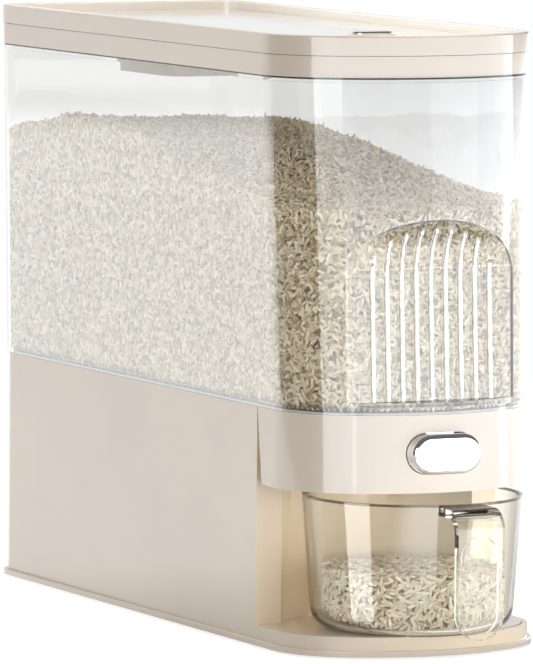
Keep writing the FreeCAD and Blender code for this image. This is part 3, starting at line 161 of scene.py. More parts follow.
def remap(tree, content, source, target=(0.0, 1.0), **settings):
    """Stretches a value from one range to another and holds it at the ends."""
    return node(tree, "MapRange", Value=content, From_Min=source[0], From_Max=source[1], To_Min=target[0],
                To_Max=target[1], **settings).outputs["Result"]


def noise(tree, place, scale, detail, **settings):
    """The outputs of a cloudy pattern."""
    return node(tree, "TexNoise", Vector=place, Scale=scale, Detail=detail, **settings).outputs


def own_place(tree):
    """The point being shaded, in the piece's own coordinates."""
    return node(tree, "TexCoord").outputs["Object"]


def axes(tree, kind="TexCoord", output="Object"):
    """The coordinates of the point being shaded, by axis."""
    return node(tree, "SeparateXYZ", node(tree, kind).outputs[output]).outputs


def skin_of(material):
    """The material's Principled shader."""
    return next(item for item in material.node_tree.nodes if item.type == "BSDF_PRINCIPLED")


def opaque(colour):
    """A colour with full cover."""
    return (*colour, 1.0)


def new_group(name, inputs, outputs):
    """A shader node group with float and colour sockets; returns it with its two end nodes."""
    group = bpy.data.node_groups.new(name, "ShaderNodeTree")
    for label, content in inputs.items():
        kind = "NodeSocketColor" if isinstance(content, tuple) else "NodeSocketFloat"
        socket = group.interface.new_socket(label, in_out="INPUT", socket_type=kind)
        socket.default_value = content
    for label, kind in outputs.items():
        group.interface.new_socket(label, in_out="OUTPUT", socket_type="NodeSocket" + kind)
    return group, group.nodes.new("NodeGroupInput"), group.nodes.new("NodeGroupOutput")


def use_group(tree, group, **values):
    """The outputs of a node group that has the given inputs."""
    item = tree.nodes.new("ShaderNodeGroup")
    item.node_tree = group
    set_inputs(item, **values)
    return item.outputs


# ---------------------------------------------------------------- camera, light and floor

def place_camera():
    """Long lens from the front left, a little above the lid."""
    yaw, pitch, roll = math.radians(YAW), math.radians(PITCH), math.radians(ROLL)
    forward = Vector((math.sin(yaw) * math.cos(pitch), math.cos(yaw) * math.cos(pitch), math.sin(pitch)))
    level = Vector((math.cos(yaw), -math.sin(yaw), 0.0))
    upright = level.cross(forward)
    right = level * math.cos(roll) + upright * math.sin(roll)
    up = upright * math.cos(roll) - level * math.sin(roll)
    lens = bpy.data.cameras.new("camera")
    lens.sensor_width = 36.0
    lens.lens = LENS
    lens.clip_end = 50.0
    camera = bpy.data.objects.new("camera", lens)
    bpy.context.collection.objects.link(camera)
    rows = [(right[i], up[i], -forward[i], eye) for i, eye in enumerate(EYE)]
    camera.matrix_world = Matrix([*rows, (0.0, 0.0, 0.0, 1.0)])
    bpy.context.scene.camera = camera


def softbox(name, place, target, size, radiance):
    """Rectangular lamp of even brightness; 1.0 is the brightness of the white background."""
    lamp = bpy.data.lights.new(name, "AREA")
    lamp.shape = "RECTANGLE"
    lamp.size, lamp.size_y = size
    lamp.energy = radiance * math.pi * size[0] * size[1]
    holder = bpy.data.objects.new(name, lamp)
    bpy.context.collection.objects.link(holder)
    holder.location = place
    holder.rotation_euler = (Vector(target) - Vector(place)).to_track_quat("-Z", "Y").to_euler()
    holder.visible_camera = False
    return holder


def lamp_for_light(*settings):
    """A lamp that lights the surfaces and isn't mirrored in them."""
    lamp = softbox(*settings)
    lamp.visible_glossy = False
    return lamp


def hidden_lamp(*settings):
    """A lamp that lights the surfaces and shows neither in them nor through clear plastic."""
    lamp = lamp_for_light(*settings)
    lamp.visible_transmission = False
    return lamp


def soften(lamp, edge):
    """Fades a lamp out towards its edges, over a share of its width and height."""
    lamp.use_nodes = True
    tree = lamp.node_tree
    spot = axes(tree, "NewGeometry", "Parametric")
    fades = []
    for axis, share in zip("XY", edge):
        from_edge = calc(tree, "PINGPONG", spot[axis], 0.5)
        fades.append(remap(tree, from_edge, (0.0, share), interpolation_type="SMOOTHSTEP"))
    set_inputs(tree.nodes["Emission"], Strength=calc(tree, "MULTIPLY", *fades))


def card(name, start, end, low, high, radiance, edge=(0.05, 0.05), reach=1.1):
    """A glowing card that only glossy surfaces show, between two bearings from the front's middle."""
    middle, half = math.radians((start + end) / 2), math.radians(end - start) / 2
    place = (reach * math.sin(middle), CARD_PIVOT - reach * math.cos(middle), (low + high) / 2)
    target = (0.0, CARD_PIVOT, (low + high) / 2)
    item = softbox(name, place, target, (2 * reach * math.tan(half), high - low), radiance)
    item.data.color = CARD_WHITE
    show_in_gloss(item, edge)
    return item


def show_in_gloss(item, edge):
    """Lets only reflections show a lamp, with soft edges."""
    item.visible_diffuse = False
    item.visible_transmission = False
    soften(item.data, edge)


def pieces(label, names):
    """A collection of the named pieces, for a lamp to use."""
    chosen = bpy.data.collections.new(label)
    for name in names:
        chosen.objects.link(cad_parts[name])
    return chosen


def only_for(item, *names):
    """Lets a lamp reach only the named pieces."""
    item.light_linking.receiver_collection = pieces(item.name + "_lit", names)


def shaded_by(item, *names):
    """Lets only the named pieces shade a lamp."""
    item.light_linking.blocker_collection = pieces(item.name + "_shades", names)


def by_ray(tree, mirrored, lit, seen):
    """Brightness for a reflection, for the light on surfaces, and for what is seen straight on or
    through clear plastic."""
    rays = node(tree, "LightPath").outputs
    straight = calc(tree, "MAXIMUM", rays["Is Camera Ray"], rays["Is Transmission Ray"])
    shiny = node(tree, "Mix", Factor=rays["Is Diffuse Ray"], A=mirrored, B=lit)
    return node(tree, "Mix", Factor=straight, A=shiny.outputs["Result"], B=seen).outputs["Result"]


def light_surround():
    """White surround for what is seen directly or through clear plastic; it is dimmer in reflections."""
    world = bpy.data.worlds.new("studio")
    world.use_nodes = True
    tree = world.node_tree
    bearing = axes(tree, output="Generated")
    # Brightest behind the dispenser, and brighter below the horizon than above it.
    behind = remap(tree, bearing["Y"], (0.62, 0.8))
    low = remap(tree, bearing["Z"], (-0.01, 0.05), (1.25, 0.7))
    mirrored = calc(tree, "MULTIPLY_ADD", behind, low, SURROUND_SHEEN)
    set_inputs(tree.nodes["Background"], Color=(1.0, 1.0, 1.0, 1.0),
               Strength=by_ray(tree, mirrored, SURROUND_LIGHT, 1.0))
    bpy.context.scene.world = world


def hang_lamps():
    """Soft lamps for the surfaces, and glowing cards for the bands that gloss shows."""
    lamp_for_light("key", (1.6, -2.15, 0.85), (0.0, -0.1, 0.2), (1.5, 1.5), 1.35)
    lamp_for_light("overhead", (0.2, 0.1, 2.4), (0.0, 0.0, 0.3), (1.6, 1.6), 3.0)
    lamp_for_light("fill_left", (-1.8, -0.7, 0.8), (0.0, -0.1, 0.2), (1.2, 1.2), 0.9)
    warm = hidden_lamp("niche_fill", (1.02, -1.14, 0.11), (-0.05, -0.12, 0.055), (0.5, 0.3), 12.5)
    warm.data.color = (1.0, 0.80, 0.38)
    only_for(warm, "base_housing")
    shaded_by(warm, "base_housing", "dispenser_head", "base_plate")
    rim = hidden_lamp("lid_fill", (-0.05, 0.0, 0.415), (0.08, 0.02, 0.355), (0.42, 0.03), 9.5)
    rim.data.color = (0.75, 0.88, 1.0)
    only_for(rim, "lid_frame")
    lamp_for_light("low_fill", (0.5, -1.3, 0.05), (0.0, -0.2, 0.2), (1.2, 0.25), 0.6)
    left = softbox("card_left", (-0.68, 0.9, -0.053), (0.0, 0.2, -0.053), (0.72, 0.576), 1.75)
    left.data.color = CARD_WHITE
    show_in_gloss(left, (0.05, 0.06))
    only_for(left, "hopper", "measuring_cup")
    window = softbox("card_window", (-0.07, -0.2035, 0.05), (0.0, -0.2035, 0.05), (0.025, 0.086), 8.0)
    show_in_gloss(window, (0.06, 0.04))
    only_for(window, "measuring_cup")
    veil = card("card_hopper", -33.0, 82.0, -0.15, 0.43, 1.1, edge=(0.04, 0.3), reach=1.05)
    veil.data.color = (0.42, 0.62, 1.0)
    only_for(veil, "hopper")
    card("card_strip", -66.0, -30.0, -0.1, 0.6, 5.0)
    card("card_front", -33.0, 82.0, -0.15, 0.43, 5.2, edge=(0.04, 0.3))
    low = softbox("card_low", (0.3, -0.8, 0.004), (0.3, -0.8, 1.0), (1.2, 1.0), 5.4)
    show_in_gloss(low, (0.15, 0.15))
    card("card_right", 70.0, 136.0, -0.15, 0.32, 4.0, edge=(0.1, 0.15))
    bpy.context.scene.view_settings.view_transform = "Standard"


def lay_floor():
    """A floor that shows as white and throws back a softer light."""
    mesh = bpy.data.meshes.new("floor")
    half = FLOOR_HALF
    mesh.from_pydata([(-half, -half, 0), (half, -half, 0), (half, half, 0), (-half, half, 0)], [],
                     [(0, 1, 2, 3)])
    floor = bpy.data.objects.new("floor", mesh)
    bpy.context.collection.objects.link(floor)
    material, tree, skin = new_finish("pale_floor")
    behind = remap(tree, axes(tree)["Y"], (-0.05, 0.25), (0.2, 1.1))
    set_inputs(skin, Base_Color=(0.5, 0.5, 0.5, 1.0), Roughness=0.8, Emission_Color=(1.0, 1.0, 1.0, 1.0),
               Emission_Strength=by_ray(tree, behind, FLOOR_LIGHT, FLOOR_SEEN))
    mesh.materials.append(material)


# ---------------------------------------------------------------- materials

def moulding_group():
    """Moulded plastic: faint flow marks in colour, an eggshell grain and a soft ripple from the mould."""
    group, given, made = new_group(
        "moulding",
        {"Colour": (0.8, 0.7, 0.6, 1.0), "Flow": 0.03, "Grain Size": 900.0, "Polish": 0.3, "Ripple": 0.2},
        {"Colour": "Color", "Roughness": "Float", "Height": "Float"})
    given = given.outputs
    place = own_place(group)
    flow = noise(group, place, 9.0, 3.0, Roughness=0.5)["Fac"]
    grain = noise(group, place, given["Grain Size"], 2.0, Roughness=0.6)["Fac"]
    wave = noise(group, place, 22.0, 1.0)["Fac"]
    amount = calc(group, "MULTIPLY_ADD", remap(group, flow, (0.3, 0.7), (-1.0, 1.0)), given["Flow"], 1.0)
    shade = node(group, "VectorMath", given["Colour"], operation="SCALE", Scale=amount)
    dull = remap(group, grain, (0.35, 0.65), (0.92, 1.08))
    swell = calc(group, "MULTIPLY", wave, given["Ripple"])
    set_inputs(made, Colour=shade.outputs[0], Roughness=calc(group, "MULTIPLY", dull, given["Polish"]),
               Height=calc(group, "MULTIPLY_ADD", grain, 0.04, swell))
    return group


def moulded(name, group, colour, polish, grain=900.0, ripple=0.2, bump=0.05, coat=0.0, bleed=0.0):
    """A moulded plastic; bleed is how far light softens through it, as in a milky cream wall."""
    material, tree, skin = new_finish(name)
    marks = use_group(tree, group, Colour=opaque(colour), Flow=0.03, Grain_Size=grain, Polish=polish,
                      Ripple=ripple)
    relief = node(tree, "Bump", Strength=bump, Distance=0.001, Height=marks["Height"])
    set_inputs(skin, Base_Color=marks["Colour"], Roughness=marks["Roughness"],
               Normal=relief.outputs["Normal"], Coat_Weight=coat, Coat_Roughness=0.06,
               Subsurface_Weight=bleed, Subsurface_Radius=(1.0, 0.8, 0.6), Subsurface_Scale=0.002)
    return material


def clear_plastic(name, group, tint, edge_tint, edge_range, index):
    """Clear styrene that lets lamps through to what it holds, and darkens where it is seen edge on."""
    material, tree, skin = new_finish(name)
    marks = use_group(tree, group, Colour=opaque(tint), Flow=0.01, Grain_Size=400.0, Polish=0.012, Ripple=0.5)
    facing = node(tree, "LayerWeight", Blend=0.5).outputs["Facing"]
    edge = node(tree, "MixRGB", remap(tree, facing, edge_range), marks["Colour"], opaque(edge_tint))
    relief = node(tree, "Bump", Strength=0.02, Distance=0.001, Height=marks["Height"])
    set_inputs(skin, Base_Color=edge.outputs[0], Roughness=marks["Roughness"],
               Normal=relief.outputs["Normal"], Transmission_Weight=1.0, IOR=index)
    passing = node(tree, "BsdfTransparent", Color=(0.93, 0.93, 0.92, 1.0))
    shaded = node(tree, "LightPath").outputs["Is Shadow Ray"]
    pick = node(tree, "MixShader", shaded, skin.outputs["BSDF"], passing.outputs["BSDF"])
    set_inputs(tree.get_output_node("ALL"), Surface=pick.outputs["Shader"])
    return material


def satin_crests(material):
    """A satin skin on the right flanks and crests of the flutes on the hopper's flat face."""
    tree = material.node_tree
    spot = axes(tree)
    turn = calc(tree, "FRACT", calc(tree, "MULTIPLY_ADD", spot["X"], 1 / RIB_PITCH, 0.5))
    band = calc(tree, "COMPARE", turn, 0.5 + RIB_SATIN[0], RIB_SATIN[1])
    reach = calc(tree, "MULTIPLY", spot["X"], 2 * RIB_SHARE / (RIB_PITCH * (RIB_COUNT - 1)))
    drop = calc(tree, "SQRT", calc(tree, "SUBTRACT", 1.0, calc(tree, "MULTIPLY", reach, reach)))
    top = calc(tree, "MULTIPLY_ADD", drop, RIB_ARCH, RIB_TOP - RIB_ARCH)
    limits = (calc(tree, "LESS_THAN", spot["Z"], top), calc(tree, "GREATER_THAN", spot["Z"], RIB_FOOT),
              calc(tree, "LESS_THAN", spot["Y"], RIB_REAR),
              calc(tree, "LESS_THAN", calc(tree, "ABSOLUTE", spot["X"]), RIB_PITCH * RIB_COUNT / 2))
    mask = band
    for limit in limits:
        mask = calc(tree, "MULTIPLY", mask, limit)
    set_inputs(skin_of(material), Coat_Weight=mask, Coat_IOR=2.6, Coat_Roughness=0.35)


def painted_shade_band(material, low, high, tone, share):
    """Darkens a clear piece between two levels, as painted shade: a shadow line just under the collar, or
    round the cup's thick rim.
    """
    tree, skin = material.node_tree, skin_of(material)
    band = calc(tree, "COMPARE", axes(tree)["Z"], (low + high) / 2, (high - low) / 2)
    plain = skin.inputs["Base Color"].links[0].from_socket
    shade = node(tree, "MixRGB", calc(tree, "MULTIPLY", band, share), plain, opaque(tone))
    set_inputs(skin, Base_Color=shade.outputs[0])


def metal(name, colour, polish, grain, streak):
    """Plated or drawn metal with fine streaks from side to side."""
    material, tree, skin = new_finish(name)
    stretch = node(tree, "Mapping", Vector=own_place(tree), Scale=(1.0, streak, streak))
    lines = noise(tree, stretch.outputs["Vector"], grain, 3.0)["Fac"]
    tone = node(tree, "MixRGB", lines, opaque([part * 0.94 for part in colour]), opaque(colour))
    set_inputs(skin, Base_Color=tone.outputs[0], Metallic=1.0,
               Roughness=remap(tree, lines, (0.3, 0.7), (polish * 0.8, polish * 1.3)))
    return material


def rice_finish(name, light, dark, darkest):
    """Milled rice: each grain has its own tone, a chalky core and a waxy skin."""
    material, tree, skin = new_finish(name)
    tone = node(tree, "Attribute", attribute_name="tone").outputs["Fac"]
    chalk = noise(tree, own_place(tree), 420.0, 2.0)["Fac"]
    # Each grain's tone differs at random; the spread down to the darkest tone is partly painted shade of
    # grains in each other's shadow.
    ramp = node(tree, "ValToRGB", Fac=tone)
    stops = ramp.color_ramp.elements
    stops[0].position, stops[0].color = 0.0, opaque(darkest)
    stops[1].position, stops[1].color = 1.0, opaque(light)
    stops.new(0.35).color = opaque(dark)
    cloud = remap(tree, chalk, (0.35, 0.65), (0.75, 1.15))
    mix = node(tree, "MixRGB", 0.35, ramp.outputs["Color"], cloud, blend_type="MULTIPLY")
    set_inputs(skin, Base_Color=mix.outputs[0], Roughness=remap(tree, chalk, (0.3, 0.7), (0.32, 0.5)),
               Subsurface_Weight=0.3, Subsurface_Radius=(1.0, 0.8, 0.5), Subsurface_Scale=0.001)
    return material


def shaded_bed_finish(name, light, dark):
    """The mass of rice behind the outer grains, in dark colours as painted shade: uneven cells with painted
    dark gaps between them.
    """
    material, tree, skin = new_finish(name)
    place = own_place(tree)
    warp = noise(tree, place, 160.0, 2.0)["Color"]
    bend = node(tree, "VectorMath", warp, (0.004, 0.004, 0.004), place, operation="MULTIPLY_ADD").outputs[0]
    cells = node(tree, "TexVoronoi", Vector=bend, Scale=330.0)
    gaps = node(tree, "TexVoronoi", Vector=bend, Scale=330.0, feature="DISTANCE_TO_EDGE")
    edge = remap(tree, gaps.outputs["Distance"], (0.0, 0.12))
    tone = node(tree, "MixRGB", cells.outputs["Color"], opaque(dark), opaque(light))
    # Painted shade in the gaps between the cells.
    mix = node(tree, "MixRGB", edge, opaque([part * 0.25 for part in dark]), tone.outputs[0])
    relief = node(tree, "Bump", Strength=0.6, Distance=0.001, Height=edge)
    set_inputs(skin, Base_Color=mix.outputs[0], Roughness=0.55, Normal=relief.outputs["Normal"])
    return material


# ---------------------------------------------------------------- plan of the hopper

def plan(half, front, rear, corner, rear_corner, count):
    """Evenly spaced points of the rounded outline, their outward directions, and its length."""
    run = half - corner
    reach = (run * run + FRONT_BOW * FRONT_BOW) / (2 * FRONT_BOW)
    turn = math.asin(run / reach)
    low = -front + FRONT_BOW + corner
    runs = []

    def arc(middle, radius, start, end, steps):
        angles = np.linspace(start, end, steps, endpoint=False)
        runs.append(np.stack([middle[0] + radius * np.cos(angles), middle[1] + radius * np.sin(angles)], 1))

    def straight(start, end, steps):
        share = np.linspace(0, 1, steps, endpoint=False)[:, None]
        runs.append(np.array(start) * (1 - share) + np.array(end) * share)

    bow_middle = (0.0, -front + reach + corner)
    arc(bow_middle, reach + corner, -math.pi / 2 - turn, -math.pi / 2 + turn, 90)
    arc((run, low), corner, -math.pi / 2 + turn, 0.0, 60)
    straight((half, low), (half, rear - rear_corner), 200)
    arc((half - rear_corner, rear - rear_corner), rear_corner, 0.0, math.pi / 2, 30)
    straight((half - rear_corner, rear), (-half + rear_corner, rear), 80)
    arc((-half + rear_corner, rear - rear_corner), rear_corner, math.pi / 2, math.pi, 30)
    straight((-half, rear - rear_corner), (-half, low), 200)
    arc((-run, low), corner, math.pi, 1.5 * math.pi - turn, 60)
    points = np.concatenate(runs)
    points = np.concatenate([points, points[:1]])
    steps = np.hypot(*np.diff(points, axis=0).T)
    along = np.concatenate([[0.0], np.cumsum(steps)])
    wanted = np.linspace(0, along[-1], count, endpoint=False)
    spaced = np.stack([np.interp(wanted, along, points[:, i]) for i in (0, 1)], 1)
    ahead = np.roll(spaced, -1, axis=0) - np.roll(spaced, 1, axis=0)
    ahead /= np.linalg.norm(ahead, axis=1)[:, None]
    spaced[:, 1] += SHIFT
    return spaced, np.stack([ahead[:, 1], -ahead[:, 0]], 1), along[-1]


def hopper_plan(level, inset, count):
    """The inner side of the hopper's wall at a level, set in by inset, without the flat face."""
    if level < STRIP_TOP:
        return plan(*[size - inset for size in STRIP_PLAN], count)
    share = (level - STRIP_TOP) / (SHOULDER - STRIP_TOP)
    half, front, *rest = WALL_PLAN
    sizes = (half + SIDE_FLARE * share, front - FRONT_DRAFT * share, *rest)
    return plan(*[size - inset for size in sizes], count)


def face_line(level, inset):
    """How far forward the space behind the flat face and its cove reaches, at each level."""
    depth = HOPPER_WALL + inset
    straight = FACE_Y - (COVE_START - level) * FRONT_LEAN + depth
    rise = np.maximum(level - COVE_MIDDLE[1], 0.0)
    cove = COVE_MIDDLE[0] + np.sqrt(np.maximum((COVE_RADIUS + depth) ** 2 - rise ** 2, 0.0))
    return np.where(level < COVE_START, straight, cove)


def behind_face(places, normals, inset):
    """Moves places that lie in front of the flat face back to it, and turns their normals."""
    line = face_line(places[:, 2], inset)
    ahead = (places[:, 1] < line) & (places[:, 2] > STRIP_TOP)
    places[ahead, 1] = line[ahead]
    rise = np.maximum(places[ahead, 2] - COVE_MIDDLE[1], 0.0)
    facing = np.column_stack([np.zeros(len(rise)), COVE_MIDDLE[0] - line[ahead], -rise])
    normals[ahead] = facing / np.linalg.norm(facing, axis=1)[:, None]


# Where the rice meets the left wall, its crest along the middle, and where it meets the right wall:
# each point is a place along the dispenser and a level.
LEFT_LINE = ((-215.0, 252.0), (-190.0, 255.0), (-128.1, 259.7), (-90.6, 264.1), (-35.9, 272.8),
             (20.3, 285.4), (77.6, 293.9), (143.5, 295.5), (224.9, 283.2), (245.0, 281.0))
CREST_LINE = ((-215.0, 255.0), (-190.0, 257.0), (-147.7, 260.5), (-100.0, 267.5), (-75.7, 275.0),
              (-42.2, 286.0), (-10.0, 290.5), (25.9, 292.0), (124.3, 292.5), (225.0, 283.0), (245.0, 281.0))
RIGHT_LINE = ((-215.0, 258.0), (-147.7, 260.2), (-103.4, 260.8), (-77.6, 262.6), (-51.6, 266.0),
              (-25.3, 268.0), (28.3, 276.0), (83.0, 283.0), (139.0, 287.0), (245.0, 280.0))


def heap_level(x, y):
    """Height of the rice's surface, in millimetres."""
    left, crest, right = (np.interp(y, *np.array(line).T) for line in (LEFT_LINE, CREST_LINE, RIGHT_LINE))
    side = np.where(x < 0, left, right)
    share = np.clip(1 - (np.abs(x) / HEAP_HALF) ** 2, 0, 1)
    ripple = 0.8 * np.sin(x / 11.0 + y / 17.0) + 0.6 * np.sin(y / 9.0 - x / 23.0)
    return side + (crest - side) * share + ripple


# ---------------------------------------------------------------- rice

def smooth_mesh(name, points, faces, material):
    """A smooth mesh from points in metres and faces."""
    mesh = bpy.data.meshes.new(name)
    mesh.from_pydata(points, [], faces)
    mesh.validate()
    item = bpy.data.objects.new(name, mesh)
    bpy.context.collection.objects.link(item)
    mesh.materials.append(material)
    mesh.shade_smooth()
    return item


def loft_rings(rings):
    """Faces between closed rings of the same count, in order."""
    count = len(rings[0])
    faces = []
    for low in range(len(rings) - 1):
        for i in range(count):
            j = (i + 1) % count
            faces.append((low * count + i, low * count + j, (low + 1) * count + j, (low + 1) * count + i))
    return faces


def rice_bed(material):
    """Solid core of the rice, from the gate up through the funnel to just under the heap's grains."""
    count, inset = 240, 2.2
    rings = []

    def flat_ring(points, level):
        rings.append(np.column_stack([points, np.full(len(points), level)]))

    mouth = plan(*FUNNEL_MOUTH, count)[0]
    direction = mouth - np.array(OUTLET_MIDDLE)
    direction /= np.abs(direction / np.array(OUTLET_HALF)).max(axis=1)[:, None]
    for level in OUTLET_LEVELS:
        flat_ring(np.array(OUTLET_MIDDLE) + direction, level)
    flat_ring(mouth, MOUTH_LEVEL)
    flat_ring(plan(*FUNNEL_BRIM, count)[0], BRIM_LEVEL)
    flat_ring(hopper_plan(BRIM_LEVEL, inset - 0.6, count)[0], BRIM_LEVEL + 0.2)
    top = hopper_plan(270.0, inset, count)[0]
    crest = heap_level(top[:, 0], top[:, 1]) - BED_DEPTH
    for share in np.linspace(0, 1, 34):
        levels = STRIP_TOP + 0.4 + share * (crest - STRIP_TOP - 0.4)
        low = hopper_plan(STRIP_TOP, inset, count)[0]
        high = hopper_plan(SHOULDER, inset, count)[0]
        part = ((levels - STRIP_TOP) / (SHOULDER - STRIP_TOP))[:, None]
        ring = np.column_stack([low * (1 - part) + high * part, levels])
        ring[:, 1] = np.maximum(ring[:, 1], face_line(levels, inset))
        rings.append(ring)
    edge = rings[-1][:, :2]
    for share in np.linspace(0.94, 0.0, 24):  # rings that close in on the crest
        inner = np.column_stack([edge[:, 0] * share, edge[:, 1] * (0.55 + 0.45 * share)])
        rings.append(np.column_stack([inner, heap_level(inner[:, 0], inner[:, 1]) - BED_DEPTH]))
    points = np.concatenate(rings) * MM
    faces = loft_rings(rings)
    faces.append(tuple(range(count - 1, -1, -1)))
    bed = smooth_mesh("rice_bed", points.tolist(), faces, material)
    form = bmesh.new()
    form.from_mesh(bed.data)
    bmesh.ops.remove_doubles(form, verts=form.verts, dist=2e-5)
    bmesh.ops.recalc_face_normals(form, faces=form.faces)
    form.to_mesh(bed.data)
    form.free()
    return bed


def grain_shape(sides=6, loops=4):
    """One milled grain of unit length along X: a blunt germ end and a slightly pointed tip."""
    points = [(-0.5, 0.0, 0.0)]
    for loop in range(1, loops + 1):
        t = loop / (loops + 1)
        place = -0.5 + (1 - math.cos(math.pi * t)) / 2
        girth = math.sin(math.pi * t) ** 0.8 * (1 - 0.12 * place)
        points += [(place, girth * 0.5 * math.cos(2 * math.pi * i / sides),
                    girth * 0.5 * math.sin(2 * math.pi * i / sides)) for i in range(sides)]
    points.append((0.5, 0.0, 0.0))
    last = len(points) - 1
    faces = [(0, 1 + (i + 1) % sides, 1 + i) for i in range(sides)]
    for loop in range(loops - 1):
        start = 1 + loop * sides
        for i in range(sides):
            j = (i + 1) % sides
            faces.append((start + i, start + j, start + sides + j))
            faces.append((start + i, start + sides + j, start + sides + i))
    start = 1 + (loops - 1) * sides
    faces += [(start + i, start + (i + 1) % sides, last) for i in range(sides)]
    return np.array(points), np.array(faces)


GRAIN_POINTS, GRAIN_FACES = grain_shape()
GRAINS_PER_PIECE = 4000


def grains(name, places, normals, material, body, length, width, tilt):
    """Grains lying on a surface: places and outward normals in millimetres, in pieces of a few thousand."""
    count = len(places)
    helper = np.where(np.abs(normals[:, 2:3]) < 0.9, [[0.0, 0.0, 1.0]], [[1.0, 0.0, 0.0]])
    across = np.cross(helper, normals)
    across /= np.linalg.norm(across, axis=1)[:, None]
    upward = np.cross(normals, across)
    angle = rng.uniform(0, math.pi * 2, count)[:, None]
    axis = across * np.cos(angle) + upward * np.sin(angle) + normals * rng.normal(0, tilt, (count, 1))
    axis /= np.linalg.norm(axis, axis=1)[:, None]
    side = np.cross(normals, axis)
    side /= np.linalg.norm(side, axis=1)[:, None]
    flat = np.cross(axis, side)
    sizes = np.column_stack([rng.normal(length, length * 0.08, count), rng.normal(width, 0.16, count),
                             rng.normal(width * 0.74, 0.12, count)])
    tones = rng.beta(1.9, 1.6, count)
    for start in range(0, count, GRAINS_PER_PIECE):
        pick = slice(start, min(start + GRAINS_PER_PIECE, count))
        shape = GRAIN_POINTS[None] * sizes[pick][:, None]
        points = (places[pick][:, None] + shape[..., 0:1] * axis[pick][:, None]
                  + shape[..., 1:2] * side[pick][:, None] + shape[..., 2:3] * flat[pick][:, None])
        number = points.shape[0]
        faces = GRAIN_FACES[None] + (np.arange(number) * len(GRAIN_POINTS))[:, None, None]
        label = "%s_%d" % (name, start // GRAINS_PER_PIECE + 1)
        item = triangle_mesh(label, points.reshape(-1, 3) * MM, faces.reshape(-1, 3), material)
        tone = item.data.attributes.new("tone", "FLOAT", "POINT")
        tone.data.foreach_set("value", np.repeat(tones[pick], len(GRAIN_POINTS)).astype(np.float32))
        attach(item, body)


def triangle_mesh(name, points, faces, material):
    """A triangle mesh straight from arrays."""
    mesh = bpy.data.meshes.new(name)
    mesh.vertices.add(len(points))
    mesh.vertices.foreach_set("co", points.astype(np.float32).ravel())
    mesh.loops.add(faces.size)
    mesh.loops.foreach_set("vertex_index", faces.astype(np.int32).ravel())
    mesh.polygons.add(len(faces))
    mesh.polygons.foreach_set("loop_start", np.arange(0, faces.size, 3, dtype=np.int32))
    mesh.update(calc_edges=True)
    mesh.shade_smooth()
    mesh.materials.append(material)
    item = bpy.data.objects.new(name, mesh)
    bpy.context.collection.objects.link(item)
    return item


def wall_places(low, high_of, pitch, inset):
    """Jittered places over the hopper's wall, from a level up to a line, with outward normals."""
    places, normals = [], []
    around = hopper_plan((low + HEAP_LEVELS[0]) / 2, inset, 200)[2]
    columns = int(around / pitch)
    for row, level in enumerate(np.arange(low, HEAP_LEVELS[1], pitch * 0.86)):
        points, outward, _ = hopper_plan(level, inset, columns)
        shift = rng.uniform(-0.5, 0.5, (columns, 3)) * pitch * 0.9
        along = np.column_stack([-outward[:, 1], outward[:, 0]])
        place = np.column_stack([points + along * (shift[:, :1] + pitch * 0.5 * (row % 2)),
                                 level + shift[:, 1]])
        place[:, :2] -= outward * np.abs(rng.normal(0, SCATTER, (columns, 1)))
        keep = place[:, 2] < high_of(place[:, 0], place[:, 1])
        places.append(place[keep])
        normals.append(np.column_stack([outward, np.zeros(columns)])[keep])
    return np.concatenate(places), np.concatenate(normals)


def inside(points, outline):
    """True for each point that an outline encloses."""
    x, y = points[:, 0][:, None], points[:, 1][:, None]
    ax, ay = outline[:, 0][None], outline[:, 1][None]
    bx, by = np.roll(ax, -1, axis=1), np.roll(ay, -1, axis=1)
    crosses = ((ay > y) != (by > y)) & (x < (bx - ax) * (y - ay) / np.where(by == ay, 1e-9, by - ay) + ax)
    return crosses.sum(axis=1) % 2 == 1


def top_places(outline, pitch, level_of):
    """Jittered places over a heap inside an outline, with the heap's normals."""
    low, high = outline.min(axis=0), outline.max(axis=0)
    xs, ys = np.meshgrid(np.arange(low[0], high[0], pitch), np.arange(low[1], high[1], pitch))
    spots = np.column_stack([xs.ravel(), ys.ravel()])
    spots += rng.uniform(-0.5, 0.5, spots.shape) * pitch * 0.95
    spots = spots[inside(spots, outline)]
    x, y = spots.T
    level = level_of(x, y)
    slope_x = (level_of(x + 1, y) - level_of(x - 1, y)) / 2
    slope_y = (level_of(x, y + 1) - level_of(x, y - 1)) / 2
    normals = np.column_stack([-slope_x, -slope_y, np.ones(len(x))])
    normals /= np.linalg.norm(normals, axis=1)[:, None]
    return np.column_stack([spots, level + rng.normal(0, SCATTER, len(x))]), normals


def fill_hopper(grain_material, top_material, bed_material):
    """The hopper's rice: a core, grains against the wall, over the heap, and in the foot strip."""
    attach(rice_bed(bed_material), "base")

    pitch, inset, foot_level = 2.3, 1.7, 144.3
    places, normals = wall_places(STRIP_TOP + 1.8, lambda x, y: heap_level(x, y) - 0.5, pitch, inset)
    behind_face(places, normals, inset)
    grains("rice_wall", places, normals, grain_material, "base", length=5.4, width=2.2, tilt=0.14)
    places, normals = top_places(hopper_plan(280.0, 2.6, 300)[0], pitch, heap_level)
    grains("rice_top", places, normals, top_material, "base", length=5.2, width=2.0, tilt=0.9)
    points, outward, _ = hopper_plan(BRIM_LEVEL, inset, 330)
    level = np.full(len(points), foot_level + 0.2) + rng.uniform(-0.25, 0.25, len(points))
    grains("rice_foot", np.column_stack([points, level]), np.column_stack([outward, np.zeros(len(points))]),
           grain_material, "base", length=3.2, width=1.7, tilt=0.02)
    ledge_plan = hopper_plan(BRIM_LEVEL, 3.2, 300)[0]
    places, normals = top_places(ledge_plan, 2.2, lambda x, y: 0.0 * x + foot_level)
    ledge = places[:, 1] < face_line(np.array([STRIP_TOP]), 0.5)[0]
    places[:, 2] = foot_level
    grains("rice_ledge", places[ledge], normals[ledge], grain_material, "base", length=3.4, width=1.8,
           tilt=0.02)


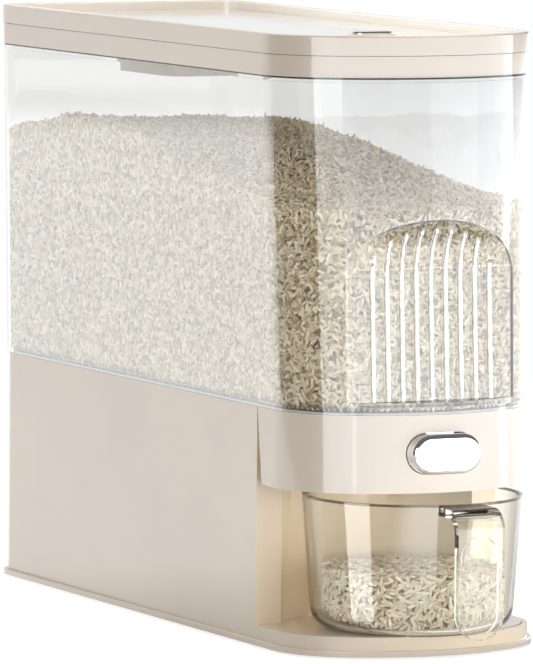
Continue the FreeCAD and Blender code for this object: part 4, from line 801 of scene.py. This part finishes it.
def cup_heap(x, y):
    """Height of the rice's surface in the cup, in millimetres."""
    away = np.hypot(x - CUP_MIDDLE[0], y - CUP_MIDDLE[1])
    return CUP_FOOT + PILE_DEPTH + 2.5 * np.cos(away / 36.0) + 1.2 * np.sin(x / 13.0 + 1.0) * np.cos(y / 15.0)


def fill_cup(grain_material, bed_material):
    """The cup's rice: a core with grains against the wall and on top."""
    count = 120
    angles = np.linspace(0, 2 * math.pi, count, endpoint=False)
    circle = np.column_stack([np.cos(angles), np.sin(angles)])
    rings = []
    for level, radius in CUP_BOWL:
        rings.append(np.column_stack([circle * radius + CUP_MIDDLE, np.full(count, CUP_FOOT + level)]))
    for share in (1.0, 0.85, 0.7, 0.55, 0.4, 0.25, 0.1):
        spots = circle * (PILE_REACH - BED_DEPTH) * share + CUP_MIDDLE
        rings.append(np.column_stack([spots, cup_heap(spots[:, 0], spots[:, 1]) - BED_DEPTH]))
    faces = loft_rings(rings)
    last = (len(rings) - 1) * count
    faces += [tuple(range(count - 1, -1, -1)), tuple(range(last, last + count))]
    bed = smooth_mesh("cup_rice_bed", (np.concatenate(rings) * MM).tolist(), faces, bed_material)
    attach(bed, "cup")
    places, normals = [], []
    for level in np.arange(5.4, 35.0, 2.3):
        radius = PILE_REACH - 1.2 - max(0.0, 14.0 - level) ** 1.7 * 0.12
        number = int(2 * math.pi * radius / 3.0)
        spin = np.linspace(0, 2 * math.pi, number, endpoint=False) + rng.uniform(-0.03, 0.03, number)
        outward = np.column_stack([np.cos(spin), np.sin(spin), np.zeros(number)])
        place = outward * radius + np.array([*CUP_MIDDLE, CUP_FOOT + level])
        place[:, 2] += rng.uniform(-1.2, 1.2, number)
        keep = place[:, 2] < cup_heap(place[:, 0], place[:, 1])
        places.append(place[keep])
        normals.append(outward[keep])
    grains("cup_rice_wall", np.concatenate(places), np.concatenate(normals), grain_material, "cup",
           length=6.6, width=2.5, tilt=0.1)
    places, normals = top_places(circle * (PILE_REACH - 2.0) + CUP_MIDDLE, 2.5, cup_heap)
    grains("cup_rice_top", places, normals, grain_material, "cup", length=6.6, width=2.5, tilt=0.3)


# ---------------------------------------------------------------- dressing the frame's own nodes

def dress_nodes(finishes):
    """Gives each of the frame's own nodes its finish."""
    for name, material in finishes.items():
        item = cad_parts[name]
        item.data.materials.clear()
        item.data.materials.append(material)


def working_spring(name, body):
    """A copy of a return spring with its own mesh, riding with a body in place of the frame's node."""
    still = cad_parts[name]
    coil = bpy.data.objects.new(name + "_coil", still.data.copy())
    coil.matrix_world = still.matrix_world
    bpy.context.collection.objects.link(coil)
    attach(coil, body)
    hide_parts(name)
    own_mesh(coil)


moulding = moulding_group()
cream = moulded("cream_plastic", moulding, (0.80, 0.685, 0.56), 0.42, coat=1.0, bleed=0.15)
cream_low = moulded("cream_plate", moulding, (0.79, 0.675, 0.55), 0.42, coat=1.0, bleed=0.1)
white = moulded("white_inlay", moulding, (0.86, 0.85, 0.83), 0.10, grain=300.0, ripple=0.1, bump=0.02,
                coat=0.6)
box_white = moulded("drier_white", moulding, (0.74, 0.66, 0.56), 0.35)
slick = moulded("acetal_white", moulding, (0.82, 0.81, 0.77), 0.4)
seal = moulded("seal_silicone", moulding, (0.62, 0.61, 0.58), 0.5, grain=600.0, bump=0.1)
pad = moulded("pad_rubber", moulding, (0.05, 0.048, 0.045), 0.7, grain=500.0, bump=0.2)
clear = clear_plastic("clear_hopper", moulding, (0.86, 0.86, 0.855), (0.26, 0.23, 0.19), (0.64, 0.97),
                      1.57)
satin_crests(clear)
# Painted shadow line on the hopper, just under the collar.
painted_shade_band(clear, *SHADOW_LINE, (0.03, 0.025, 0.02), 1.0)
clear_cup = clear_plastic("clear_cup", moulding, (0.93, 0.915, 0.85), (0.12, 0.08, 0.04), (0.5, 0.92), 1.50)
# Painted shade round the cup's thick rim.
painted_shade_band(clear_cup, *CUP_RIM, (0.14, 0.10, 0.05), 0.9)
chrome = metal("chrome_plate", (0.86, 0.86, 0.87), 0.05, 120.0, 4.0)
steel = metal("drawn_steel", (0.55, 0.55, 0.56), 0.28, 300.0, 12.0)
# Copies of one rice in different brightness, as painted light and shade: the hopper's wall grains darkest for
# the shade inside the hopper, the heap's lighter, the cup's lightest for the light on its front.
rice = rice_finish("rice_grain", (0.92, 0.82, 0.60), (0.49, 0.37, 0.19), (0.20, 0.13, 0.05))
heap_rice = rice_finish("rice_heap", (0.96, 0.86, 0.64), (0.60, 0.47, 0.26), (0.30, 0.20, 0.09))
lit_cup_rice = rice_finish("rice_loose", (0.90, 0.84, 0.74), (0.62, 0.53, 0.39), (0.30, 0.22, 0.11))
# Dark beds under the grains, as painted shade for the depths of the rice; the cup's is a lighter copy.
shaded_rice_mass = shaded_bed_finish("shaded_rice_mass", (0.26, 0.19, 0.08), (0.15, 0.10, 0.04))
shaded_cup_mass = shaded_bed_finish("loose_mass", (0.48, 0.38, 0.22), (0.32, 0.25, 0.13))

dress_nodes({
    "base_housing": cream, "dispenser_head": cream, "collar": cream, "lid_frame": cream,
    "base_plate": cream_low, "funnel": cream_low, "drier_grille": cream_low,
    "lid_panel": white, "drier_box": box_white,
    "gate_guide": slick, "gate_slide": slick, "latch_bolt": slick, "latch_channel": slick,
    "hopper_seal": seal, "lid_seal": seal, "rubber_feet": pad,
    "hopper": clear, "measuring_cup": clear_cup,
    "push_button": chrome, "latch_button": chrome,
    "base_screws": steel, "guide_screws": steel, "button_spring": steel, "latch_spring": steel,
    "hinge_pins": steel,
})
working_spring("button_spring", "base")
working_spring("latch_spring", "lid")
fill_hopper(rice, heap_rice, shaded_rice_mass)
fill_cup(lit_cup_rice, shaded_cup_mass)
place_camera()
light_surround()
hang_lamps()
lay_floor()
